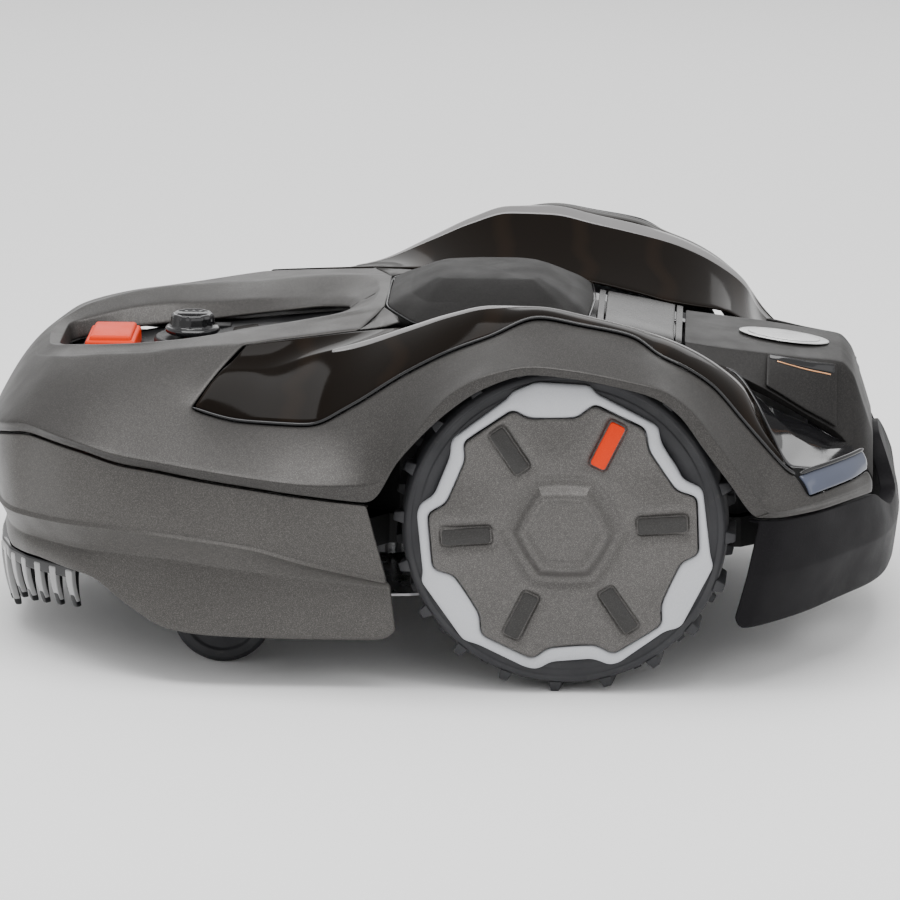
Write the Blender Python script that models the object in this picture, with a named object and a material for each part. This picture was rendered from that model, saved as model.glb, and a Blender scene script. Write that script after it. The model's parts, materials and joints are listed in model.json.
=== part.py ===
"""Robotic lawn mower as separate solids.

+X is the mower's front, +Y its left side, +Z up; the origin is the middle of the footprint on the ground.
Feature lines are given in millimetres and turned into metres when a mesh is made.
"""

import math

import bmesh
import bpy
import numpy as np

MM = 0.001

# Driving dimensions, in millimetres
WHEEL_X = -100.4
WHEEL_TIP_R = 131.0
TYRE_R = 125.5
TYRE_INNER_Y = 190.0
TYRE_OUTER_Y = 250.0
LUGS = 20
BOSS_R = 35.0
SPOKE_R = 75.0
POCKET_LENGTH = 38.0
POCKET_WIDTH = 13.0
MARKER_ANGLE = 116.0
STOP_HALF_X = 20.5
STOP_HALF_Y = 30.0
POCKET_GAP = 2.0
CASTER_R = 40.0
CASTER_WIDTH = 40.0
CASTER_Y = 160.0
CASTER_TRAIL = 24.0
CASTER_AXIS_X = 192.0
CUT_X = 45.0
DISC_R = 118.0
DISC_Z = 40.0
BLADE_PIVOT_R = 104.0
PAN_BOTTOM_Z = 96.0
PAN_TOP_Z = 119.7
COVER_BOTTOM_Z = 120.0
COVER_TOP_Z = 190.0
SHELL_T = 2.6
TRIM_T = 2.2
GAP = 0.3
TRAY_DROP = 6.5
KNOB_X = 205.0
STOP_X = 269.0


# Feature lines of the body panels, left half: station -> (x, y, z)
GAP_LINE = {
    0: (360, 0, 160), 2: (357, 75, 161), 3: (350, 116, 169), 4: (337, 147, 176.5), 5: (316, 170, 181),
    6: (280, 206, 179), 7: (243, 225, 172), 8: (214, 235, 169.5), 9: (180, 245, 165.5), 10: (140, 252, 161),
    11: (95, 258, 156), 12: (50, 264, 153), 13: (25, 269, 188), 14: (-12, 270, 226), 15: (-42, 270, 246),
    16: (-75, 270, 256), 17: (-108, 270, 253), 18: (-145, 270, 246), 19: (-170, 269, 238),
    20: (-188, 268, 224),
    21: (-205, 266, 200), 22: (-225, 262, 172), 23: (-247, 252, 142), 24: (-262, 248, 141),
    25: (-292, 222, 140),
    26: (-318, 183, 138.5), 27: (-337, 149, 136.5),
}
CREASE = {
    0: (361, 0, 168), 2: (359, 76, 169), 3: (353, 118, 177), 4: (340, 150, 184.5), 5: (318, 173, 189),
    6: (283, 211, 187), 7: (246, 230, 180), 8: (217, 240, 177.5), 9: (181, 250, 174), 10: (140, 257, 169.5),
    11: (93, 262, 165.5), 12: (47, 267, 168), 13: (16, 271, 205), 14: (-14, 272, 241), 15: (-45, 272, 257),
    16: (-76, 272, 263), 17: (-108, 272, 260), 18: (-145, 272, 253), 19: (-173, 271, 246),
    20: (-196, 270, 230),
    21: (-216, 268, 204), 22: (-236, 264, 176), 23: (-258, 254, 146.5), 24: (-272, 246, 147),
    25: (-294, 221, 146),
    26: (-320, 182, 145), 27: (-337.5, 149, 144),
}
TRIM_LINE = {
    0: (344, 0, 198), 2: (338, 62, 200), 3: (329, 88, 203), 4: (317, 114, 211), 5: (300, 135, 214),
    6: (268, 152, 217), 7: (240, 160, 217.5), 8: (214, 168, 214), 9: (190, 186, 206.5), 10: (148, 195, 198),
    11: (100, 206, 198.5), 12: (66, 210, 214.5), 13: (25, 212, 241), 14: (-12, 214, 260.5),
    15: (-42, 214, 272),
    16: (-78, 207, 285.5), 17: (-112, 208, 280), 18: (-150, 210, 272.5), 19: (-172, 217, 259),
    20: (-192, 219.5, 250),
    21: (-212, 221, 237), 22: (-238, 224.5, 208), 23: (-267, 228, 176), 24: (-277, 222, 167),
}
WINDOW_TOP = {
    0: (330, 0, 214), 2: (325, 46, 215), 3: (316, 68, 219), 4: (304, 88, 224), 5: (290, 100, 227),
    6: (262, 111, 231.5), 7: (232, 118, 234.5), 8: (200, 122, 239), 9: (153, 130, 245), 10: (130, 125, 247.3),
    11: (97, 118, 250), 12: (64, 110, 252.5), 13: (20, 100, 254),
}
RIM = {
    0: (319, 0, 221.5), 2: (315, 40, 222.5), 3: (307, 57, 225), 4: (297, 70, 228.5), 5: (284, 80, 231),
    6: (258, 94, 235), 7: (232, 100, 238), 8: (200, 98, 241), 9: (155, 87.5, 246), 10: (130, 83, 250),
    11: (100, 76, 254), 12: (70, 62, 257), 13: (58, 34, 258.2), 14: (55, 0, 258.6),
}
BANK = {
    0: (309, 0, 220.5), 2: (308.5, 30, 221), 3: (304, 40, 221.5), 4: (296, 45, 222.5), 5: (282, 54, 224.5),
    6: (258, 65, 228), 7: (230, 69.5, 230.5), 8: (200, 64, 233), 9: (155, 52, 239.5), 10: (130, 46, 242),
    11: (102, 40, 245), 12: (80, 26, 248), 13: (72, 13, 249.5), 14: (70, 0, 250),
}
RECESS = {
    0: (306, 0, 207), 2: (305.5, 28, 207), 3: (301, 36, 207.5), 4: (293, 40, 209), 5: (280, 46, 211),
    6: (256, 54, 214), 7: (230, 56, 217), 8: (200, 49, 222), 9: (155, 36, 231), 10: (130, 28, 236),
    11: (104, 24, 240), 12: (86, 15, 242), 13: (80, 8, 243.2), 14: (79, 0, 243.4),
}
DECK_EDGE = {11: (98, 86, 252.5), 12: (48, 56, 258), 13: (47.5, 30, 259), 14: (47, 0, 259.5)}
RIDGE = {
    9: (170, 158, 231.5), 10: (138, 157, 231), 11: (97, 152, 242), 12: (64, 148, 250), 13: (22, 161, 267.5),
    14: (-12, 174, 281.5), 15: (-42, 182, 289.3), 16: (-78, 182, 288.5), 17: (-112, 179, 281.5),
    18: (-150, 181, 272.5), 19: (-172, 182, 266.5), 20: (-195, 183, 257), 21: (-218, 184, 243),
    22: (-238, 186, 225), 22.5: (-247, 201, 203), 23: (-264, 222, 181),
}
ARCH_FOOT = {
    9: (153, 130, 245), 10: (130, 125, 247.3), 11: (97, 118, 250), 12: (64, 110, 252.5), 13: (20, 100, 254),
    14: (-15, 100, 252.5), 15: (-45, 100, 251), 16: (-78, 100, 249.5), 17: (-112, 95, 245),
    18: (-150, 92, 237),
    19: (-175, 90.5, 230.5), 20: (-195, 90, 227.5), 21: (-218, 91, 224), 22: (-240, 108, 209),
    22.5: (-256, 150, 186), 23: (-270, 200, 171),
}
SKIRT_CREASE = {
    0: (361.5, 0, 112), 2: (357, 75, 112), 3: (350, 112, 112), 4: (337, 146, 112.5), 5: (319, 168, 113.5),
    6: (284, 203, 117), 7: (248, 225, 119), 8: (214, 239, 118.5), 9: (178, 248, 116), 10: (140, 254, 112),
    11: (98, 259, 102), 12: (34, 256, 87),
}
SKIRT_WAIST = {
    0: (357, 0, 92), 2: (352, 75, 92), 3: (345, 110, 91), 4: (331, 140, 91), 5: (312, 163, 92),
    6: (277, 198, 94),
    7: (242, 220, 96.5), 8: (209, 234, 97), 9: (174, 243, 94.5), 10: (135, 249, 91), 11: (92, 254, 87),
    12: (32, 255, 81),
}
SKIRT_HEM = {
    0: (349, 0, 78), 2: (346, 75, 76), 3: (341, 108, 75), 4: (328, 137, 76.5), 5: (308, 166, 78.5),
    6: (272, 206, 78), 7: (240, 226, 61), 8: (206, 242, 45), 9: (172, 248, 41.5), 10: (127, 250, 40.5),
    11: (80, 250, 40), 11.75: (37, 250, 40.3), 12: (28, 250.5, 49),
}
BUMPER_TOP = {
    0: (-249, 250, 139.5), 1: (-263, 246, 138.5), 2: (-292, 220, 137.5), 3: (-318, 181, 136),
    4: (-337, 147, 134),
    5: (-346, 122, 123), 6: (-353, 95, 114), 7: (-357, 62, 118), 8: (-350, 42, 140), 9: (-344.5, 22, 153),
    10: (-343.5, 0, 156),
}
BUMPER_MID = {
    0: (-240, 250, 95), 1: (-254, 246, 95), 2: (-290, 216, 96), 3: (-322, 172, 96), 4: (-344, 135, 96),
    5: (-352, 112, 96), 6: (-357, 85, 96), 7: (-360, 58, 96), 8: (-361, 40, 97), 9: (-361.5, 20, 97),
    10: (-361.5, 0, 97),
}
BUMPER_HEM = {
    0: (-231, 244.5, 60), 0.3: (-235, 242, 51.5), 1: (-243, 239, 51), 2: (-280, 203, 52), 3: (-312, 156, 53), 4: (-336, 120, 54),
    5: (-345, 100, 54.5), 6: (-350, 82, 55), 7: (-354, 56, 55.5), 8: (-356, 38, 55.5), 9: (-357, 20, 56),
    10: (-357, 0, 56),
}
LAMP_BOTTOM = {24: (-288, 226, 153.5), 25: (-299, 211.5, 154), 26: (-323, 176, 155), 27: (-333, 152, 156)}
LAMP_TOP = {24: (-279, 220, 167.5), 25: (-294, 205, 169.5), 26: (-318, 171, 170), 27: (-329, 150, 170)}


def material(name, colour, roughness, metallic=0.0):
    mat = bpy.data.materials.new(name)
    mat.use_nodes = True
    shader = mat.node_tree.nodes["Principled BSDF"]
    shader.inputs["Base Color"].default_value = (*colour, 1.0)
    shader.inputs["Roughness"].default_value = roughness
    shader.inputs["Metallic"].default_value = metallic
    return mat


def along(line, station):
    """Point at a station of a feature line, by monotone cubic interpolation between its control points."""
    u = np.array(sorted(line), float)
    p = np.array([line[k] for k in sorted(line)], float)
    h = np.diff(u)[:, None]
    d = np.diff(p, axis=0) / h
    same = d[:-1] * d[1:] > 0
    safe = np.where(same, d[:-1] + d[1:], 1.0)
    slopes = np.vstack([d[:1], np.where(same, 2 * d[:-1] * d[1:] / safe, 0.0), d[-1:]])
    i = int(np.clip(np.searchsorted(u, station, side="right") - 1, 0, len(u) - 2))
    t = (station - u[i]) / h[i, 0]
    start = (2 * t**3 - 3 * t**2 + 1) * p[i] + (t**3 - 2 * t**2 + t) * h[i, 0] * slopes[i]
    return start + (3 * t**2 - 2 * t**3) * p[i + 1] + (t**3 - t**2) * h[i, 0] * slopes[i + 1]


def sample(line, stations):
    return [along(line, s) for s in stations]


def between(low, high, t, bulge):
    """Row of points part of the way from one row to another, pushed out along the surface normal."""
    rows = []
    last = len(low) - 1
    for i, (a, b) in enumerate(zip(low, high)):
        run = low[min(i + 1, last)] - low[max(i - 1, 0)]
        out = np.cross(run, b - a)
        out = out / max(np.linalg.norm(out), 1e-9)
        rows.append(a + (b - a) * t + out * bulge)
    return rows


def both_sides(row):
    """A left-half row that starts on the centre line, made into a full row from right rear to left rear."""
    mirrored = [p * np.array([1, -1, 1]) for p in row[:0:-1]]
    return mirrored + list(row)


def grid_cells(rows):
    """Quads between neighbouring rows; a row is a list of point indices."""
    faces = []
    for r in range(len(rows) - 1):
        low, high = rows[r], rows[r + 1]
        for s in range(len(low) - 1):
            cell = (low[s], low[s + 1], high[s + 1], high[s])
            faces.append(cell)
    return faces


class Sheet:
    """An open surface that is gathered from grids of points and then thickened into one closed shell."""

    def __init__(self):
        self.points = []
        self.faces = []

    def add_points(self, row):
        start = len(self.points)
        self.points += [np.array(p, float) for p in row]
        return list(range(start, len(self.points)))

    def add_grid(self, rows):
        self.faces += grid_cells([self.add_points(row) for row in rows])

    def mesh(self):
        bm = bmesh.new()
        verts = [bm.verts.new(p) for p in self.points]
        for face in self.faces:
            bm.faces.new([verts[i] for i in face])
        bmesh.ops.remove_doubles(bm, verts=bm.verts, dist=0.05)
        loose = [v for v in bm.verts if not v.link_faces]
        bmesh.ops.delete(bm, geom=loose, context="VERTS")
        return bm


def thicken(bm, thickness):
    """Turns an open sheet into a closed shell by adding an inner skin and a rim."""
    bm.normal_update()
    bm.verts.ensure_lookup_table()
    outer = list(bm.verts)
    inner = {}
    for v in outer:
        normals = [f.normal for f in v.link_faces]
        mean = sum(normals[1:], normals[0].copy()).normalized()
        spread = min(max(mean.dot(n) for n in normals), 1.0)
        lean = max(min(mean.dot(n) for n in normals), 0.6)
        reach = thickness / ((spread + lean) / 2)
        inner[v] = bm.verts.new(v.co - mean * reach)
    faces = list(bm.faces)
    edges = [e for e in bm.edges if len(e.link_faces) == 1]
    rims = []
    for e in edges:
        loop = e.link_loops[0]
        a, b = loop.vert, loop.link_loop_next.vert
        rims.append((b, a, inner[a], inner[b]))
    for face in faces:
        bm.faces.new([inner[v] for v in reversed(face.verts)])
    for rim in rims:
        bm.faces.new(rim)
    return bm


def place(bm, name, mat, origin=(0, 0, 0), sharp=35, parent=None):
    """Makes an object from a mesh in millimetres, with its origin at a point in millimetres."""
    bmesh.ops.recalc_face_normals(bm, faces=bm.faces)
    bmesh.ops.translate(bm, verts=bm.verts, vec=[-c for c in origin])
    bmesh.ops.scale(bm, verts=bm.verts, vec=(MM, MM, MM))
    mesh = bpy.data.meshes.new(name)
    bm.to_mesh(mesh)
    bm.free()
    mesh.shade_smooth()
    mesh.set_sharp_from_angle(angle=math.radians(sharp))
    mesh.materials.append(mat)
    obj = bpy.data.objects.new(name, mesh)
    bpy.context.scene.collection.objects.link(obj)
    obj.location = [c * MM for c in origin]
    if parent is not None:
        obj.parent = parent
        obj.location = [c * MM - p for c, p in zip(origin, parent.location)]
    return obj


def mirror_y(bm):
    bmesh.ops.scale(bm, verts=bm.verts, vec=(1, -1, 1))
    return bm


def box(low, high, bevel=0.0, taper=(1.0, 1.0)):
    """Box between two corners, its top face scaled by taper and its edges bevelled."""
    bm = bmesh.new()
    bmesh.ops.create_cube(bm, size=1.0)
    centre = [(a + b) / 2 for a, b in zip(low, high)]
    for v in bm.verts:
        for axis in range(2):
            v.co[axis] *= taper[axis] if v.co[2] > 0 else 1.0
    bmesh.ops.scale(bm, verts=bm.verts, vec=[b - a for a, b in zip(low, high)])
    bmesh.ops.translate(bm, verts=bm.verts, vec=centre)
    if bevel:
        bmesh.ops.bevel(bm, geom=bm.edges[:], offset=bevel, segments=1, affect="EDGES", clamp_overlap=True)
    return bm


def prism(outline, low, high, axis=2):
    """Outline extruded along an axis; for axis 1 the outline is in (x, z), for axis 2 in (x, y)."""
    bm = bmesh.new()

    def point(a, b, c):
        return (a, c, b) if axis == 1 else (a, b, c)

    verts = [bm.verts.new(point(a, b, low)) for a, b in outline]
    base = bm.faces.new(verts)
    moved = bmesh.ops.extrude_face_region(bm, geom=[base])["geom"]
    step = (0, high - low, 0) if axis == 1 else (0, 0, high - low)
    bmesh.ops.translate(bm, verts=[g for g in moved if isinstance(g, bmesh.types.BMVert)], vec=step)
    return bm


def turned(profile, segments, centre, axis=2):
    """Closed ring or solid turned about an axis through centre; profile is (radius, height) all round."""
    bm = bmesh.new()
    rings = []
    for radius, height in profile:
        if radius == 0:
            pole = bm.verts.new(turn_point(0, 0, height, centre, axis))
            rings.append([pole] * segments)
            continue
        ring = []
        for i in range(segments):
            angle = math.tau * i / segments
            ring.append(bm.verts.new(turn_point(radius * math.cos(angle), radius * math.sin(angle),
                                                height, centre, axis)))
        rings.append(ring)
    for a, b in zip(rings, rings[1:] + rings[:1]):
        for i in range(segments):
            j = (i + 1) % segments
            corners = list(dict.fromkeys((a[i], a[j], b[j], b[i])))
            if len(corners) > 2:
                bm.faces.new(corners)
    return bm


def turn_point(u, v, height, centre, axis):
    if axis == 1:
        return (centre[0] + u, centre[1] + height, centre[2] + v)
    return (centre[0] + u, centre[1] + v, centre[2] + height)


def cutter(bm, target, operation="DIFFERENCE"):
    """Cuts a shape out of an object, or joins it on, with an exact Boolean."""
    bmesh.ops.recalc_face_normals(bm, faces=bm.faces)
    bmesh.ops.scale(bm, verts=bm.verts, vec=(MM, MM, MM))
    name = f"{target.name}_tool_{len(target.modifiers)}"
    mesh = bpy.data.meshes.new(name)
    bm.to_mesh(mesh)
    bm.free()
    tool = bpy.data.objects.new(name, mesh)
    bpy.context.scene.collection.objects.link(tool)
    tool.hide_render = True
    tool.display_type = "WIRE"
    modifier = target.modifiers.new(operation.lower(), "BOOLEAN")
    modifier.operation = operation
    modifier.solver = "EXACT"
    modifier.object = tool


def joint_empty(name, at):
    empty = bpy.data.objects.new(name, None)
    empty.location = [c * MM for c in at]
    bpy.context.scene.collection.objects.link(empty)
    return empty


# ---------------------------------------------------------------- body panels

def make_top_cover(mats, shell):
    """Hood, side panels, wheel arches and the bank round the control recess, as one shell."""
    low = list(range(0, 24))
    front = list(range(0, 10))
    ring = list(range(0, 15))
    sheet = Sheet()
    gap, crease, trim = (sample(line, low) for line in (GAP_LINE, CREASE, TRIM_LINE))
    waist = between(crease, trim, 0.5, 3.5)
    side = [gap, crease, waist, trim]
    sheet.add_grid([both_sides(row) for row in side])
    trim_front, window = sample(TRIM_LINE, front), sample(WINDOW_TOP, front)
    hood = [trim_front] + [between(trim_front, window, t, b) for t, b in ((0.36, 4.0), (0.7, 3.5))] + [window]
    sheet.add_grid([both_sides(row) for row in hood])
    rim, bank, recess = (sample(line, ring) for line in (RIM, BANK, RECESS))
    deck = sample(WINDOW_TOP, range(0, 13))
    lip = between(rim[:11], deck[:11], 0.32, 0.6) + sample(DECK_EDGE, ring[11:])
    sheet.add_grid([both_sides(row) for row in (deck, lip[:13])])
    sheet.add_grid([both_sides(row) for row in (lip, rim, bank, recess)])
    for sign in (1, -1):
        corner = [np.array(p) * (1, sign, 1) for p in (lip[12], deck[12], along(WINDOW_TOP, 13))]
        ids = sheet.add_points(corner)
        sheet.faces.append(ids if sign < 0 else ids[::-1])
    add_rear_corner(sheet, waist[-1])
    place(thicken(sheet.mesh(), SHELL_T), "top_cover", mats["body"], parent=shell)


def add_rear_corner(sheet, waist_end):
    """The band that runs below each rear lamp, on both sides."""
    stations = list(range(23, 28))
    gap, crease = sample(GAP_LINE, stations), sample(CREASE, stations)
    upper = [waist_end] + [p - np.array((0, 0, 1.3)) for p in sample(LAMP_BOTTOM, stations[1:])]
    for sign in (1, -1):
        flip = np.array((1, sign, 1))
        rows = [[p * flip for p in row][::sign] for row in (gap, crease, upper)]
        sheet.add_grid(rows)
        quad = [p * flip for p in (waist_end, upper[1], along(TRIM_LINE, 24), along(TRIM_LINE, 23))]
        ids = sheet.add_points(quad)
        sheet.faces.append(ids[::sign])


def make_skirt(mats, shell):
    """Lower front and side panel below the panel gap."""
    stations = list(range(0, 13))
    top = [p - np.array((0, 0, 2.2)) for p in sample(GAP_LINE, stations)]
    lines = [sample(line, stations) for line in (SKIRT_HEM, SKIRT_WAIST, SKIRT_CREASE)]
    upper = between(lines[2], top, 0.5, 0.7)
    sheet = Sheet()
    sheet.add_grid([both_sides(row) for row in (*lines, upper, top)])
    place(thicken(sheet.mesh(), SHELL_T), "skirt", mats["body_dark"], parent=shell)


def make_rear_bumper(mats, shell):
    """Dark lower panel round the tail."""
    stations = list(range(0, 11))[::-1]
    rows = [sample(line, stations) for line in (BUMPER_TOP, BUMPER_MID, BUMPER_HEM)]
    sheet = Sheet()
    sheet.add_grid([both_sides(row) for row in rows])
    place(thicken(sheet.mesh(), SHELL_T), "rear_bumper", mats["bumper"], parent=shell)


def make_trim(mats, shell):
    """Side window and glossy arch over each wheel."""
    stations = list(range(9, 23)) + [22.5, 23]
    seam = np.array((0, -1.6, 1.2))
    foot_seam = np.array((0, 4.8, 0))
    edge = [p + seam for p in sample(TRIM_LINE, stations)]
    ridge = sample(RIDGE, stations)
    foot = [p + foot_seam for p in sample(ARCH_FOOT, stations)]
    edge[0], ridge[0], foot[0] = (p - np.array((2.0, 0, 0)) for p in (edge[0], ridge[0], foot[0]))
    rows = [edge, between(edge, ridge, 0.5, 2.5), ridge, between(ridge, foot, 0.5, -1.5), foot]
    for side, sign in (("left", 1), ("right", -1)):
        sheet = Sheet()
        sheet.add_grid(rows)
        bm = thicken(sheet.mesh(), TRIM_T)
        if sign < 0:
            mirror_y(bm)
        place(bm, f"trim_{side}", mats["window"], parent=shell)


def make_lamps(mats, shell):
    """Rear lamp lens on each corner."""
    stations = list(range(24, 28))
    bottom, top = sample(LAMP_BOTTOM, stations), sample(LAMP_TOP, stations)
    for side, sign in (("left", 1), ("right", -1)):
        sheet = Sheet()
        sheet.add_grid([bottom, between(bottom, top, 0.5, 1.5), top])
        bm = thicken(sheet.mesh(), 3.0)
        if sign < 0:
            mirror_y(bm)
        place(bm, f"lamp_{side}", mats["lamp"], parent=shell)


DOME_EDGE = [(46, 0, 259.5), (46, 53, 258.3), (21, 95, 254), (-15, 96.5, 252), (-60, 96.5, 250),
             (-108, 90, 245.5), (-113, 60, 253.3), (-117, 0, 255)]
DOME_SLOPE = [(28, 0, 269), (28, 42, 267.5), (14, 68, 265), (-18, 72, 266.5), (-60, 72, 266.5),
              (-90, 64, 263), (-98, 45, 265), (-99, 0, 266)]
DOME_CREST = [(6, 0, 278.2), (6, 30, 277.6), (1, 36, 277.6), (-25, 38, 278.4), (-55, 38, 278.4),
              (-68, 36, 277.6), (-72, 28, 277.6), (-73, 0, 278)]


def make_dome(mats, shell):
    """Raised cover over the navigation antenna."""
    rings = [[np.array(p, float) for p in ring] for ring in (DOME_EDGE, DOME_SLOPE, DOME_CREST)]
    full = [ring + [p * (1, -1, 1) for p in ring[-2:0:-1]] for ring in rings]
    sheet = Sheet()
    ids = [sheet.add_points(ring) for ring in full]
    count = len(full[0])
    for a, b in zip(ids, ids[1:]):
        for i in range(count):
            j = (i + 1) % count
            sheet.faces.append((a[i], a[j], b[j], b[i]))
    middle = sheet.add_points([(-30, 0, 279.5)])[0]
    for i in range(count):
        sheet.faces.append((ids[-1][i], ids[-1][(i + 1) % count], middle))
    place(thicken(sheet.mesh(), SHELL_T), "dome_cover", mats["textured"], parent=shell)


def make_deck_panel(mats, shell):
    """Glossy panel behind the dome."""
    stations = {-120: (250.5, 61), -154: (244, 62), -187: (236.5, 64)}
    rows = []
    for share in (-1.0, -0.85, 0.0, 0.85, 1.0):
        drop = {1.0: 3.0, 0.85: 0.6, 0.0: 0.0}[abs(share)]
        rows.append([np.array((x, share * half, z - drop)) for x, (z, half) in stations.items()])
    sheet = Sheet()
    sheet.add_grid(rows)
    bm = sheet.mesh()
    bmesh.ops.recalc_face_normals(bm, faces=bm.faces)
    if sum(f.normal.z for f in bm.faces) < 0:
        bmesh.ops.reverse_faces(bm, faces=bm.faces)
    place(thicken(bm, 2.4), "deck_panel", mats["gloss_grey"], parent=shell)


INNER_DECK = [
    ((18, 93, 248), (18, 60, 246), (18, 0, 246)),
    ((-60, 94, 245), (-60, 60, 241), (-60, 0, 241)),
    ((-113, 87, 240), (-113, 66, 238), (-113, 0, 238)),
    ((-184, 84, 224), (-184, 68, 221), (-184, 0, 221)),
]
VALLEY = [
    ((-184, 84, 224), (-184, 76, 221.5), (-184, 68, 221)),
    ((-226, 87, 219), (-226, 84, 209), (-226, 76, 202)),
    ((-246, 116, 201), (-250, 96, 196), (-250, 82, 191)),
    ((-258, 150, 183), (-266, 118, 183), (-266, 78, 182)),
    ((-273, 196, 168), (-285, 140, 174), (-288, 74, 172)),
    ((-292, 199, 168), (-302, 145, 171), (-306, 72, 162)),
    ((-325, 147, 168), (-322, 120, 166), (-320, 76, 156)),
]


def make_inner_deck(mats, shell):
    """Black deck between the arches, running out into the valley beside the rear module."""
    sheet = Sheet()
    front_rows = [[np.array(station[i], float) for station in INNER_DECK] for i in range(3)]
    valley_rows = [[np.array(station[i], float) for station in VALLEY] for i in range(3)]
    for sign in (1, -1):
        flip = np.array((1, sign, 1))
        for rows in (front_rows, valley_rows):
            sheet.add_grid([[p * flip for p in row][::sign] for row in rows])
        sheet.faces.append(sheet.add_points([np.array(p) * flip for p in VALLEY[0]]))
    bm = sheet.mesh()
    bmesh.ops.recalc_face_normals(bm, faces=bm.faces)
    if sum(f.normal.z for f in bm.faces) < 0:
        bmesh.ops.reverse_faces(bm, faces=bm.faces)
    place(thicken(bm, 2.4), "inner_deck", mats["gloss_black"], parent=shell)


MODULE_SECTIONS = [
    # x, top z, top edge (y, z), shoulder (y, z), bottom z
    (-189, 234, (56, 232.5), (64, 227), 223.5),
    (-226, 229.5, (57, 227.5), (78, 214), 206),
    (-252, 226, (57, 224.5), (86, 203), 196),
    (-285, 221.5, (55, 220), (79, 181), 176),
    (-312, 218, (51, 216.5), (73, 163), 157),
    (-322, 209, (50, 207), (72, 150), 144),
    (-331, 184, (49, 182), (74, 140), 134),
    (-339, 160, (44, 157), (72, 128), 122),
]


def module_section(x, top, edge, shoulder, bottom):
    half = [(0, bottom), (shoulder[0] - 3, bottom), shoulder, edge, (0, top)]
    left = [(x, y, z) for y, z in half]
    right = [(x, -y, z) for y, z in half[-2:0:-1]]
    return left + right


def make_rear_module(mats, shell):
    """Housing behind the deck panel, with its tail going down to the bumper."""
    bm = bmesh.new()
    rings = [[bm.verts.new(p) for p in module_section(*section)] for section in MODULE_SECTIONS]
    count = len(rings[0])
    for a, b in zip(rings, rings[1:]):
        for i in range(count):
            j = (i + 1) % count
            if i < count // 2:
                split = ((a[i], a[j], b[j]), (a[i], b[j], b[i]))
            else:
                split = ((a[i], a[j], b[i]), (a[j], b[j], b[i]))
            for corners in split:
                bm.faces.new(corners)
    bm.faces.new(rings[0])
    bm.faces.new(rings[-1][::-1])
    place(bm, "rear_module", mats["textured"], parent=shell)


def module_flank(x, t):
    """Point on the module's flank at x, from the shoulder (t = 0) to the top edge (t = 1)."""
    xs = [-section[0] for section in MODULE_SECTIONS]

    def at(part, k):
        return np.interp(-x, xs, [section[part][k] for section in MODULE_SECTIONS])

    low, high = (np.array((x, at(part, 0), at(part, 1))) for part in (3, 2))
    return low + (high - low) * t


def make_accessory_panels(mats, shell):
    """Cover plate on each flank of the rear module, standing just off it."""
    rows = [[module_flank(x, t) for x in (-254, -285, -310)] for t in (0.04, 0.96)]
    low, high = rows
    rows = [between(low, high, 0.0, 3.4), between(low, high, 1.0, 3.4)]
    for side, sign in (("left", 1), ("right", -1)):
        sheet = Sheet()
        ids = [sheet.add_points(row) for row in rows]
        for s in range(2):
            a, b, c, d = ids[0][s], ids[0][s + 1], ids[1][s + 1], ids[1][s]
            sheet.faces += [(a, b, c), (a, c, d)]
        bm = thicken(sheet.mesh(), 2.0)
        if sign < 0:
            mirror_y(bm)
        place(bm, f"accessory_panel_{side}", mats["textured"], parent=shell)


def make_badge(mats, shell):
    """Plain oval badge plate on the rear module's top."""
    slope = (218 - 226) / (312 - 252)
    bm = bmesh.new()
    rings = []
    for lift in (0.5, 2.0):
        ring = []
        for i in range(24):
            angle = math.tau * i / 24
            x = -268 + 36 * math.cos(angle)
            y = 20 * math.sin(angle)
            z = 226 + (-252 - x) * slope + lift + 0.3
            ring.append(bm.verts.new((x, y, z)))
        rings.append(ring)
    for i in range(24):
        j = (i + 1) % 24
        bm.faces.new((rings[0][i], rings[0][j], rings[1][j], rings[1][i]))
    bm.faces.new(rings[0])
    bm.faces.new(rings[1][::-1])
    place(bm, "badge_plate", mats["silver"], parent=shell)


# ---------------------------------------------------------------- chassis

PAN_HALF = [(-300, 105), (-270, 140), (-235, 168), (38, 168), (62, 196), (250, 196), (285, 150), (300, 110)]


def pan_outline(inset=0.0):
    left = [(x - math.copysign(inset, x) if abs(x) == 300 else x, y - inset) for x, y in PAN_HALF]
    return left + [(x, -y) for x, y in left[::-1]]


def make_chassis_pan(mats):
    """Open tub that carries every drive part, with the round well of the cutting unit."""
    pan = place(prism(pan_outline(), PAN_BOTTOM_Z, PAN_TOP_Z), "chassis_pan", mats["chassis"])
    cutter(prism(pan_outline(3.0), PAN_BOTTOM_Z + 3.0, PAN_TOP_Z + 5), pan)
    cutter(turned([(0, -40), (66, -40), (66, 40), (0, 40)], 28, (CUT_X, 0, PAN_BOTTOM_Z)), pan)
    return pan


COVER_SECTIONS = [(-288, 92, 150), (-262, 128, 168), (-232, 160, 186), (-170, 165, COVER_TOP_Z),
                  (30, 165, COVER_TOP_Z), (70, 150, COVER_TOP_Z), (250, 150, COVER_TOP_Z), (285, 110, 184)]


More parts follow.
